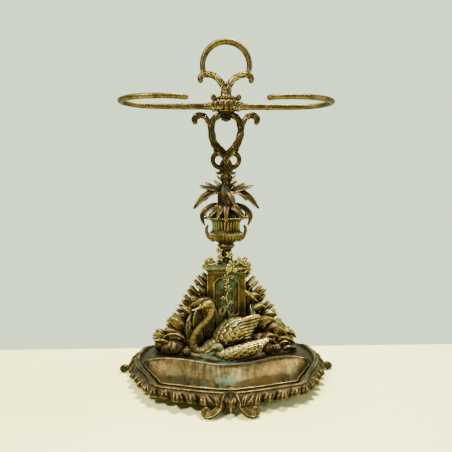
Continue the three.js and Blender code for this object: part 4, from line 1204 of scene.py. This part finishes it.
def build_stem():
    """The fluted stem under the urn."""
    low, high = span("urn_stem")
    z, top = low[2], high[2]
    casting = Casting("urn_stem_carved")

    def fluted(height, angle, share):
        shaft = ease(height, z + 9, z + 14) * (1 - ease(height, top - 6, top - 3))
        return 1 - 0.13 * shaft * np.abs(np.cos(6 * angle)) ** 3

    profile = [
        (22, z), (23, z + 0.8), (23, z + 2.6), (20, z + 4), (17, z + 6), (15.5, z + 9), (14.5, z + 14),
        (14, z + 24), (14, z + 32), (15.5, top - 3), (18, top - 1.5), (18, top),
    ]
    casting.skin(lathe(profile, 192, shape=fluted, steps=8))
    return casting.make("brass_column", ["urn_stem"], green=[(0, 0, z + 6, 16)])


def bead_row(casting, radius, z, size, count, depth=1.0):
    """A ring of beads round the column."""
    spots = []
    for angle in np.linspace(0, TAU, count, endpoint=False):
        point = (radius * math.cos(angle), radius * depth * math.sin(angle), z)
        spots.append((point, (0, 0, 1), (math.cos(angle), math.sin(angle) / depth, 0), size))
    casting.copies(blob((0, 0, 0), (1, 1, 1), sides=10, rows=7), spots)


def build_urn():
    """The urn: a fluted neck, a lobed belly, two rows of beads and two horns."""
    low, high = span("urn")
    z, top, flat = low[2], high[2], 0.75
    casting = Casting("urn_carved")

    def carved(height, angle, share):
        belly = ease(height, z + 11, z + 16) * (1 - ease(height, z + 27, z + 30))
        neck = ease(height, z + 41, z + 44) * (1 - ease(height, z + 62, z + 66))
        gadroon = 0.075 * (np.abs(np.sin(13 * angle)) ** 0.7 - 0.4) * belly
        flute = -0.07 * np.abs(np.cos(14 * angle)) ** 2 * neck
        scallop = 0.02 * np.cos(40 * angle) * ease(height, top - 6, top - 3)
        return 1 + gadroon + flute + scallop

    profile = [
        (19, z), (20.5, z + 0.8), (21.5, z + 3), (21, z + 6), (18, z + 7.5), (18.5, z + 9.5), (21, z + 11),
        (27, z + 16), (33, z + 22), (36.5, z + 28), (38.5, z + 29.5), (39, z + 33), (38.5, z + 37),
        (36.5, z + 39), (34.5, z + 42), (34, z + 52),
        (35, z + 60), (38, z + 65), (45, top - 5), (52, top - 3.4), (54, top - 1.8), (53.4, top - 0.3),
        (50, top), (44, top - 0.6), (36, top - 3), (29, top - 5), (20, top - 5.2), (12, top - 5.2),
    ]
    casting.skin(lathe(profile, 336, flat, shape=carved, steps=5))
    bead_row(casting, 39.0, z + 33.4, 3.0, 36, flat)
    bead_row(casting, 52.5, top - 0.5, 1.5, 76, flat)
    horn = flat_path([(31, z + 17), (38, z + 21), (44, z + 28), (47.5, z + 38), (47, z + 47), (44.5, z + 52)])
    casting.both(sweep, horn, radius=[5.2, 5.0, 4.5, 4.2, 3.8, 3.0], sides=16, count=50)
    casting.both(
        leaf, flat_path([(34, z + 18, -4), (42, z + 25, -4), (47, z + 36, -3)]), half=4, thick=2, ribs=2,
    )
    return casting.make("brass_column", ["urn"], green=[(-26, -20, z + 54, 20), (30, 10, z + 30, 10)])


def build_agave():
    """The plant: a stalk and two whorls of leaves that bend down."""
    z = span("urn")[1][2] - 5
    heart = z + 67
    casting = Casting("agave_carved")
    stalk = [
        (42, z + 5), (40, z + 12), (33, z + 20), (25, z + 28), (20, z + 37), (19.5, z + 48), (19.5, z + 58),
        (17, z + 68), (13, z + 78), (10, z + 92), (8, z + 106),
    ]
    casting.skin(lathe(stalk, 60, 0.9, steps=5, shape=lambda h, a, s: 1 + 0.07 * np.cos(5 * a + h * 0.1)))

    def plant(centre, leaves, both_sides):
        for *points, half in leaves:
            for sign in ((-1, 1) if both_sides else (1,)):
                path = [(sign * 3 if both_sides else 0, 0, centre - 4)] + [
                    (sign * x, y, centre + up)
                    for x, y, up in points
                ]
                out = unit(np.array([points[-1][0] * sign, points[-1][1], 0.0]))
                facing = unit(np.array([0, -0.7, 0.9]) - 0.3 * out)
                casting.skin(leaf(
                    path, half, facing=facing, thick=6.5, fold=0.38, count=32, across=13, blunt=0.22,
                ))

    # Across, back and above the middle of each whorl of leaves, and the half width.
    plant(heart, [
        [(24, -8, 2), (42, -12, 6), (66, -12, 14), 10], [(20, 2, 4), (36, 4, 12), (51, 6, 22), 9],
        [(28, -14, -2), (52, -18, -14), (77, -20, -41), 12], [(26, 12, -4), (42, 20, -12), (52, 24, -24), 9],
        [(12, 14, 8), (20, 22, 18), (30, 26, 28), 8],
    ], True)
    plant(heart, [
        [(7, -24, -4), (14, -34, -16), (20, -40, -34), 8], [(0, 22, -4), (0, 33, -20), (0, 38, -42), 11],
    ], False)
    plant(z + 26, [
        [(20, -14, 6), (39, -18, 2), (54, -20, -11), (58, -20, -24), (52, -20, -40), 10],
        [(24, 16, 6), (42, 24, 0), (52, 29, -12), (50, 30, -26), 9],
        [(16, -24, 4), (28, -33, -5), (41, -37, -16), 11],
    ], True)
    plant(z + 26, [
        [(-10, -28, 3), (-15, -38, -7), (-22, -44, -19), 9], [(0, -32, 4), (-1, -43, -5), (-2, -48, -27), 8],
        [(0, 24, 4), (0, 35, -6), (0, 39, -26), 9],
    ], False)
    # Short leaves that stand up round the lyre's foot.
    for turn, reach, up, half in (
        (200, 22, 10, 7), (250, 14, 16, 7), (290, 14, 16, 7), (340, 22, 10, 7), (225, 26, 26, 6),
        (315, 26, 26, 6), (180, 24, 32, 5), (0, 24, 32, 5), (30, 22, 16, 6), (90, 16, 18, 7),
        (150, 22, 16, 6), (270, 12, 36, 6),
    ):
        x, y = math.cos(math.radians(turn)), math.sin(math.radians(turn)) * 0.8
        path = [
            (4 * x, 4 * y, heart + up - 10), (reach * 0.6 * x, reach * 0.6 * y, heart + up - 2),
            (reach * x, reach * y, heart + up + 7),
        ]
        casting.skin(leaf(path, half, facing=(0.2 * x, -0.5, 1.0), thick=3.6, fold=0.3, count=18, across=9))
    return casting.make("brass_plant", ["agave"], green=[(0, -20, heart, 16), (14, -10, heart + 30, 12)])


# ---- lyre, crossbar and handle ----
def sprigs(casting, sign, leaves):
    """Small ribbed leaves on one side, from their paths and half widths."""
    for path, half in leaves:
        casting.skin(leaf(sided(sign, path), half, thick=2.4, fold=-0.3, ribs=2, rib=0.5, across=11))


def cast_rope(share, angle):
    """The uneven, leafy surface of the cast scrolls."""
    fine = 0.02 * np.sin(share * 75 + angle)
    return 1 + 0.06 * np.sin(share * 34 + 2 * angle) + 0.05 * np.sin(share * 17 - 3 * angle) + fine


def build_lyre():
    """The lyre bracket with its scrolls, loops and leaves, and the nut of its hub."""
    z = span("lyre_bracket")[0][2]
    casting = Casting("lyre_carved")
    arm = flat_path([
        (2, z + 43), (15, z + 58), (28, z + 74), (34, z + 95), (34.5, z + 114), (28, z + 130), (14, z + 140),
    ])
    casting.both(sweep, arm, radius=[9.5, 9.4, 9.2, 8.8, 8.4, 8, 7.5], sides=28, count=110, shape=cast_rope)
    scroll = flat_path([
        (35, z + 104), (41, z + 122), (52, z + 136), (65, z + 138), (74, z + 130), (73, z + 122),
    ])
    casting.both(sweep, scroll, radius=[7, 6.6, 6.4, 7.2, 8.0, 6.6], sides=28, count=80, shape=cast_rope)
    loop = flat_path([(7, z + 46), (19, z + 50), (29, z + 43), (31.5, z + 32), (25, z + 20), (9, z + 14)])
    casting.both(sweep, loop, radius=[7.6, 7.0, 6.0, 5.4, 5.8, 6.6], sides=20, count=70)
    casting.both(
        sweep, flat_path([(2, z + 36), (10, z + 25), (12, z + 10)]), radius=[5.4, 5, 4.4], sides=18, count=30,
    )
    casting.both(
        sweep, flat_path([(24, z + 52), (28, z + 58), (25, z + 62), (20, z + 60)]), radius=[3.5, 3.2, 2.6],
        sides=14, count=20,
    )
    neck = [(8, z), (9.5, z + 4), (9, z + 16), (7.5, z + 28), (8, z + 38), (5, z + 44)]
    casting.skin(lathe(neck, 40, steps=4))
    top = [(9, z + 136), (13, z + 140), (18, z + 145), (20, z + 147.5), (18, z + 148)]
    casting.skin(lathe(top, 60, 0.95, steps=4, shape=lambda h, a, s: 1 + 0.05 * np.cos(8 * a)))
    for sign in (-1, 1):
        sprigs(casting, sign, (
            ([(20, -6, z + 66), (31, -9, z + 84), (38, -8, z + 104)], 6),
            ([(36, -5, z + 110), (48, -8, z + 130), (60, -7, z + 137)], 5),
            ([(8, -4, z + 8), (18, -6, z + 2), (26, -4, z + 6)], 5),
            ([(4, -5, z + 2), (12, -8, z - 8), (22, -6, z - 12)], 5),
            ([(6, -5, z + 40), (16, -8, z + 50), (26, -6, z + 54)], 4.5),
            ([(30, -5, z + 122), (22, -9, z + 134), (8, -9, z + 142)], 6),
        ))
    casting.skin(leaf(
        [(0, -6, z + 44), (0, -10, z + 34), (0, -8, z + 20)], 6, thick=2.6, fold=-0.3, ribs=2, across=11,
    ))
    made = [casting.make("brass_upper", ["lyre_bracket"], green=[(20, -4, z - 2, 12)])]
    low, high = span("hub_nut")
    hub = Casting("hub_nut_turned")
    profile = [
        (7, low[2]), (10, low[2] + 0.6), (11.5, low[2] + 3), (11, low[2] + 6), (12.8, low[2] + 8),
        (13, high[2]),
    ]
    hub.skin(lathe(profile, 72, steps=4, shape=lambda h, a, s: 1 + 0.05 * np.cos(6 * a)))
    made.append(hub.make("brass_dark", ["hub_nut"], slot="steel_fixings"))
    return made


def build_boss():
    """The boss: a waved block with rounded leaves on it."""
    z = span("crossbar_boss")[0][2]
    casting = Casting("crossbar_boss_carved")
    rows = []
    for up, x, y in (
        (0, 27, 12), (1, 33, 14), (3, 40, 16), (7, 42, 17.5), (12, 42, 18), (16, 40, 17), (19, 36, 16),
        (22, 31, 14.5), (24, 27, 13),
    ):
        angle = np.linspace(0, TAU, 120, endpoint=False)
        wave = 1 + 0.045 * np.cos(14 * angle) * math.sin(math.pi * up / 24)
        rows.append(np.stack(
            [
                x * np.sign(np.cos(angle)) * np.abs(np.cos(angle)) ** 0.7 * wave, y * np.sin(angle) * wave,
                0 * angle + z + up,
            ],
            1,
        ))
    casting.skin(np.stack(rows, 0))
    for sign in (-1, 1):
        for face in (-1, 1):
            for x, y, up, size in (
                (12, 16.5, 12, (6.5, 4.5, 11)), (24, 15, 11, (6.2, 4.5, 10)), (34, 11, 12, (5.5, 5, 9)),
                (18, 15, 20, (4.5, 4, 4)), (6, 16, 21, (4, 4, 3)), (18, 17, 4, (4.2, 4, 4)),
                (30, 13, 4, (4, 4, 4)),
            ):
                casting.skin(blob((sign * x, face * y, z + up), size, int(x), 0.7, 6, 24, 14))
        casting.skin(blob((sign * 39, 0, z + 11), (6, 9, 9), 4, 0.8, 6, 24, 14))
    for face in (-1, 1):
        casting.skin(blob((0, face * 17, z + 12), (6.5, 4.5, 11.5), 2, 0.7, 6, 24, 14))
    return casting.make("brass_boss", ["crossbar_boss"], sharp=60)


def build_ring_arms():
    """The bar on each side, which bends round into an open ring."""
    made = []
    bar = span("ring_arm_right")
    z = (bar[0][2] + bar[1][2]) / 2

    def hammered(share, angle):
        back = 1 - ease(share, 0.22, 0.42)
        square = 1 / np.maximum(np.abs(np.cos(angle)), np.abs(np.sin(angle))) ** 0.6
        grain = 0.016 * np.sin(share * 310 + 3 * angle) * np.sin(share * 170 - 2 * angle)
        return (1 + (square - 1) * back * 0.75) * (1 + grain * back) + 0.008 * np.sin(share * 60 + angle)

    for side, sign in (("left", -1), ("right", 1)):
        casting = Casting(f"ring_arm_{side}_cast")
        out = bar[1][0] - 5.4
        path = [
            (40, 0), (90, 0), (145, 1), (out - 40, -8), (out - 9, -34), (out, -66), (out - 22, -98),
            (out - 62, -118), (out - 108, -122), (100, -116), (88, -109),
        ]
        casting.skin(sweep(
            [(sign * x, y, z) for x, y in path], [6.9, 7.2, 6.9, 6.5, 6.4, 6.3, 6.2, 6.2, 6.1, 5.9, 5.9],
            side=(0, 0, 1), flat=[0.85, 0.85, 0.85, 0.9, 0.95, 1, 1, 1], sides=28, count=320, shape=hammered,
        ))
        for x in (46, 99):
            path = [(sign * (x - 3), 0, z), (sign * (x + 3), 0, z)]
            casting.skin(sweep(path, 7.9, side=(0, 0, 1), flat=0.9, sides=24, count=6))
        made.append(casting.make("brass_bars", [f"ring_arm_{side}"]))
    return made


def build_handle():
    """The collar, the forked yoke and the round handle."""
    made = []
    z = span("top_collar")[0][2]
    collar = Casting("top_collar_carved")
    profile = [(20, z), (25, z + 0.8), (28, z + 3), (27, z + 6), (22, z + 8), (17, z + 10.5), (13, z + 12)]
    collar.skin(lathe(profile, 90, 0.6, steps=5))
    for sign in (-1, 1):
        curl = flat_path([(16, z + 4), (24, z + 2.6), (31, z + 4), (33, z + 9), (28, z + 11.4), (25, z + 8)])
        collar.skin(sweep(sided(sign, curl), [4.5, 4.5, 4.2, 4, 3.4, 2.6], sides=20, count=50))
        for x, size in ((6, 4.6), (15, 4.2)):
            for face in (-1, 1):
                collar.skin(blob(
                    (sign * x, face * (15 - 0.2 * x), z + 5.5), (size, size, size), sides=20, rows=12,
                ))
    for face in (-1, 1):
        collar.skin(blob((0, face * 15, z + 6), (3.4, 3.4, 5), sides=18, rows=12))
    made.append(collar.make("brass_boss", ["top_collar"]))
    yoke = Casting("handle_yoke_carved")
    z = span("handle_yoke")[0][2]
    arm = flat_path([
        (2, z + 2), (5, z + 18), (13, z + 31), (27, z + 43), (42, z + 47.5), (54, z + 45), (60, z + 39),
        (59.5, z + 33),
    ])
    yoke.both(sweep, arm, radius=[10, 9, 7.8, 7.4, 7.4, 7.2, 7.2, 6.6], sides=28, count=120, shape=cast_rope)
    post = [(13, z), (12.5, z + 2), (10.5, z + 8), (10, z + 16), (10.5, z + 24), (6, z + 30)]
    yoke.skin(lathe(post, 60, 0.8, steps=4, shape=lambda h, a, s: 1 + 0.05 * np.cos(6 * a)))
    for sign in (-1, 1):
        end = sign * span("handle_pin_right")[0][0] + sign * 1.8
        yoke.skin(sweep(
            [(end, 0, z + 44), (end, 0, z + 52.6)], 6.6, side=(1, 0, 0), sides=24, count=6, round_ends=False,
        ))
        sprigs(yoke, sign, (
            ([(8, -8, z + 22), (18, -9, z + 36), (32, -8, z + 46)], 5),
            ([(30, -7, z + 44), (42, -8, z + 50), (54, -7, z + 48)], 4.5),
            ([(4, -7, z + 4), (7, -10, z + 16), (8, -7, z + 28)], 5),
        ))
    made.append(yoke.make("brass_boss", ["handle_yoke"]))
    grip = Casting("handle_loop_cast")
    seat = span("handle_loop")[0][2]
    dip = math.asin(HANDLE_DIP / HANDLE_R)
    angles = np.linspace(-dip, math.pi + dip, 15)
    path = [(HANDLE_R * math.cos(a), 0, seat + 14 + HANDLE_R * math.sin(a)) for a in angles]

    def uneven(share, angle):
        return 1 + 0.008 * np.sin(share * 40 + angle) + 0.008 * np.sin(share * 23 - 2 * angle)

    grip.skin(sweep(
        path, [6.4, 7.0, 7.4, 7.4, 7.4, 7.0, 6.4], sides=32, count=160, round_ends=False, shape=uneven,
    ))
    made.append(grip.make("brass_bars", ["handle_loop"]))
    return made


def build_fixings():
    """The screws, pins, rods and bolts keep their own shapes and take a dull steel."""
    steel = finish_of("dull_steel")
    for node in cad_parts.values():
        if not node.hide_render:
            node.data.materials.clear()
            node.data.materials.append(steel)


# ---- stage: places in metres round the column's foot ----
FLOOR_BEHIND = 0.088
ROOM_FRONT = (0.17, 0.18, 0.155, 1)
ROOM_BACK = (1.33, 1.64, 1.10, 1)
LAMP_AIM = 0.35  # height the lamps point at
LAMPS = (
    ("key_lamp", (-1.0, -1.2, 1.8), 0.4, 78, (1.0, 0.95, 0.84)),
    ("fill_lamp", (1.7, -1.0, 0.9), 0.6, 22, (0.9, 0.97, 1.0)),
    ("top_lamp", (0.25, 0.08, 2.1), 0.4, 152, (1.0, 0.985, 0.80)),
)
CAMERA = (-0.035, -1.011, 0.442)
LENS = 33.3
TILT = 5.75  # degrees down


def build_stage():
    """A pale floor that ends behind the stand, soft lamps and the camera."""
    rear = COLUMN[1] + FLOOR_BEHIND
    corners = [(-3, -4, 0), (3, -4, 0), (3, rear, 0), (-3, rear, 0)]
    mesh = bpy.data.meshes.new("floor")
    mesh.from_pydata(corners, [], [(0, 1, 2, 3)])
    floor = bpy.data.objects.new("floor", mesh)
    bpy.context.collection.objects.link(floor)
    f = Finish(bpy.data.materials.new("pale_floor"))
    tone = f.mix(f.noise(2.5, 3.0), (0.93, 0.90, 0.34, 1), (0.96, 0.94, 0.42, 1))
    shader = f.node("ShaderNodeBsdfPrincipled", None, {"Base Color": tone, "Roughness": 0.55})
    mesh.materials.append(f.done(shader))
    room = Finish(bpy.data.worlds.new("pale_room"))
    around = room.node("ShaderNodeTexCoord", output=0)
    depth = room.node("ShaderNodeSeparateXYZ", None, {0: around}, output=1)
    light = room.mix(room.step(depth, -0.2, 0.75), ROOM_FRONT, ROOM_BACK)
    light = room.node("ShaderNodeBackground", None, {"Color": light, "Strength": 1.0})
    bpy.context.scene.world = room.done(light, "ShaderNodeOutputWorld")
    for name, place, size, power, tint in LAMPS:
        lamp = bpy.data.lights.new(name, "AREA")
        lamp.size, lamp.energy, lamp.color = size, power, tint
        holder = bpy.data.objects.new(name, lamp)
        bpy.context.collection.objects.link(holder)
        holder.location = Vector(place) + Vector(COLUMN)
        aim = Vector(COLUMN) + Vector((0, 0, LAMP_AIM)) - holder.location
        holder.rotation_euler = aim.to_track_quat("-Z", "Y").to_euler()
    eye = bpy.data.cameras.new("camera")
    eye.lens = LENS
    camera = bpy.data.objects.new("camera", eye)
    bpy.context.collection.objects.link(camera)
    camera.location = Vector(COLUMN) + Vector(CAMERA)
    aim = Vector((CAMERA[0] / CAMERA[1], 1.0, -math.tan(math.radians(TILT))))
    camera.rotation_euler = aim.to_track_quat("-Z", "Y").to_euler()
    bpy.context.scene.camera = camera


# ---- settings, operators and the sidebar ----
def colour(name, description, value):
    """A colour that the user can set."""
    return bpy.props.FloatVectorProperty(
        name=name, description=description, subtype="COLOR", size=3, min=0.0, max=1.0, default=value
    )


class StandLook(bpy.types.PropertyGroup):
    """Colours of the aged brass."""

    # The hollow colour is dirt, and also the painted shade that ambient occlusion lays in recesses.
    hollow_dirt_and_shade_colour: colour("Hollows", "Dirt left in the hollows", (0.006, 0.004, 0.0015))
    brown_colour: colour("Brown", "Aged surface of the casting", (0.040, 0.027, 0.011))
    bronze_colour: colour("Bronze", "Surface that is handled now and then", (0.158, 0.112, 0.040))
    gold_colour: colour("Gold", "Ridges rubbed bright", (0.80, 0.64, 0.21))
    green_colour: colour("Green", "Verdigris", (0.028, 0.100, 0.062))
    tray_colour: colour("Tray", "Orange brown stain in the tray", (0.120, 0.068, 0.020))
    moss_colour: colour("Moss", "Dull green film in the tray", (0.078, 0.092, 0.040))


class StandSizes(bpy.types.PropertyGroup):
    """Sizes that a user would change."""

    leaf_width: bpy.props.FloatProperty(
        name="Leaf width", description="Width of one leaf of the border, in millimetres", default=27.0,
        min=12.0, max=60.0
    )
    tray_gap: bpy.props.FloatProperty(
        name="Tray gap", description="Space round the tray, in millimetres", default=4.0, min=0.5, max=5.0
    )
    rushes: bpy.props.IntProperty(
        name="Rushes", description="Rushes along each edge of the relief", default=15, min=8, max=60
    )


class OnePiece:
    """What the operators share: each builds its piece, and stops with an error if it can't."""

    bl_options = {"REGISTER", "UNDO"}


class STAND_OT_base_frame(OnePiece, bpy.types.Operator):
    """Builds the base frame with its bead and its border of leaves"""

    bl_idname = "stand.base_frame"
    bl_label = "Base frame"

    def execute(self, context):
        build_base_frame(context.scene.stand_sizes)
        return {"FINISHED"}


class STAND_OT_drip_tray(OnePiece, bpy.types.Operator):
    """Builds the loose tray"""

    bl_idname = "stand.drip_tray"
    bl_label = "Drip tray"

    def execute(self, context):
        build_drip_tray(context.scene.stand_sizes)
        return {"FINISHED"}


class STAND_OT_feet(OnePiece, bpy.types.Operator):
    """Builds the front, side and rear feet"""

    bl_idname = "stand.feet"
    bl_label = "Feet"

    def execute(self, context):
        build_feet()
        return {"FINISHED"}


class STAND_OT_reed_panel(OnePiece, bpy.types.Operator):
    """Builds the panel of rushes behind the pedestal"""

    bl_idname = "stand.reed_panel"
    bl_label = "Rushes"

    def execute(self, context):
        build_reed_panel(context.scene.stand_sizes)
        return {"FINISHED"}


class STAND_OT_rock_mound(OnePiece, bpy.types.Operator):
    """Builds the rocks and leaves on the deck"""

    bl_idname = "stand.rock_mound"
    bl_label = "Rocks and leaves"

    def execute(self, context):
        build_rock_mound()
        return {"FINISHED"}


class STAND_OT_swan(OnePiece, bpy.types.Operator):
    """Builds the swan and its feathers"""

    bl_idname = "stand.swan"
    bl_label = "Swan"

    def execute(self, context):
        build_swan()
        return {"FINISHED"}


class STAND_OT_cygnet(OnePiece, bpy.types.Operator):
    """Builds the small bird in front of the swan"""

    bl_idname = "stand.cygnet"
    bl_label = "Cygnet"

    def execute(self, context):
        build_cygnet()
        return {"FINISHED"}


class STAND_OT_pedestal(OnePiece, bpy.types.Operator):
    """Builds the pedestal and its recessed front"""

    bl_idname = "stand.pedestal"
    bl_label = "Pedestal"

    def execute(self, context):
        build_pedestal()
        return {"FINISHED"}


class STAND_OT_cap(OnePiece, bpy.types.Operator):
    """Builds the moulded cap and its ivy"""

    bl_idname = "stand.cap"
    bl_label = "Pedestal cap"

    def execute(self, context):
        build_cap()
        return {"FINISHED"}


class STAND_OT_stem(OnePiece, bpy.types.Operator):
    """Builds the fluted stem"""

    bl_idname = "stand.stem"
    bl_label = "Urn stem"

    def execute(self, context):
        build_stem()
        return {"FINISHED"}


class STAND_OT_urn(OnePiece, bpy.types.Operator):
    """Builds the urn and its handles"""

    bl_idname = "stand.urn"
    bl_label = "Urn"

    def execute(self, context):
        build_urn()
        return {"FINISHED"}


class STAND_OT_agave(OnePiece, bpy.types.Operator):
    """Builds the plant in the urn"""

    bl_idname = "stand.agave"
    bl_label = "Agave"

    def execute(self, context):
        build_agave()
        return {"FINISHED"}


class STAND_OT_lyre(OnePiece, bpy.types.Operator):
    """Builds the lyre bracket and its hub"""

    bl_idname = "stand.lyre"
    bl_label = "Lyre bracket"

    def execute(self, context):
        build_lyre()
        return {"FINISHED"}


class STAND_OT_boss(OnePiece, bpy.types.Operator):
    """Builds the boss in the middle of the bar"""

    bl_idname = "stand.boss"
    bl_label = "Crossbar boss"

    def execute(self, context):
        build_boss()
        return {"FINISHED"}


class STAND_OT_ring_arms(OnePiece, bpy.types.Operator):
    """Builds the two open rings"""

    bl_idname = "stand.ring_arms"
    bl_label = "Ring arms"

    def execute(self, context):
        build_ring_arms()
        return {"FINISHED"}


class STAND_OT_handle(OnePiece, bpy.types.Operator):
    """Builds the collar, the yoke and the handle"""

    bl_idname = "stand.handle"
    bl_label = "Handle"

    def execute(self, context):
        build_handle()
        return {"FINISHED"}


class STAND_OT_fixings(OnePiece, bpy.types.Operator):
    """Gives the screws, pins and rods their finish"""

    bl_idname = "stand.fixings"
    bl_label = "Fixings"

    def execute(self, context):
        build_fixings()
        return {"FINISHED"}


class STAND_OT_stage(OnePiece, bpy.types.Operator):
    """Builds the floor, the lamps and the camera"""

    bl_idname = "stand.stage"
    bl_label = "Stage"

    def execute(self, context):
        build_stage()
        return {"FINISHED"}


class STAND_PT_pieces(bpy.types.Panel):
    """Lists the sizes, the colours and the pieces of the stand"""

    bl_idname = "STAND_PT_pieces"
    bl_label = "Umbrella stand"
    bl_space_type = "VIEW_3D"
    bl_region_type = "UI"
    bl_category = "Stand"

    def draw(self, context):
        for settings in (context.scene.stand_sizes, context.scene.stand_look):
            for name in settings.__annotations__:
                self.layout.prop(settings, name)
        for operator in OPERATORS:
            self.layout.operator(operator.bl_idname)


OPERATORS = (
    STAND_OT_base_frame, STAND_OT_drip_tray, STAND_OT_feet, STAND_OT_reed_panel,
    STAND_OT_rock_mound, STAND_OT_swan, STAND_OT_cygnet, STAND_OT_pedestal,
    STAND_OT_cap, STAND_OT_stem, STAND_OT_urn, STAND_OT_agave,
    STAND_OT_lyre, STAND_OT_boss, STAND_OT_ring_arms, STAND_OT_handle,
    STAND_OT_fixings, STAND_OT_stage,
)
CLASSES = (StandLook, StandSizes, *OPERATORS, STAND_PT_pieces)


def register():
    """Adds the settings, the operators and the panel."""
    for kind in CLASSES:
        bpy.utils.register_class(kind)
    bpy.types.Scene.stand_look = bpy.props.PointerProperty(type=StandLook)
    bpy.types.Scene.stand_sizes = bpy.props.PointerProperty(type=StandSizes)


def unregister():
    """Takes them away again."""
    del bpy.types.Scene.stand_sizes
    del bpy.types.Scene.stand_look
    for kind in reversed(CLASSES):
        bpy.utils.unregister_class(kind)


def main():
    """Builds every piece."""
    register()
    for operator in OPERATORS:
        getattr(bpy.ops.stand, operator.bl_idname.split(".")[1])()


if __name__ == "__main__":
    main()
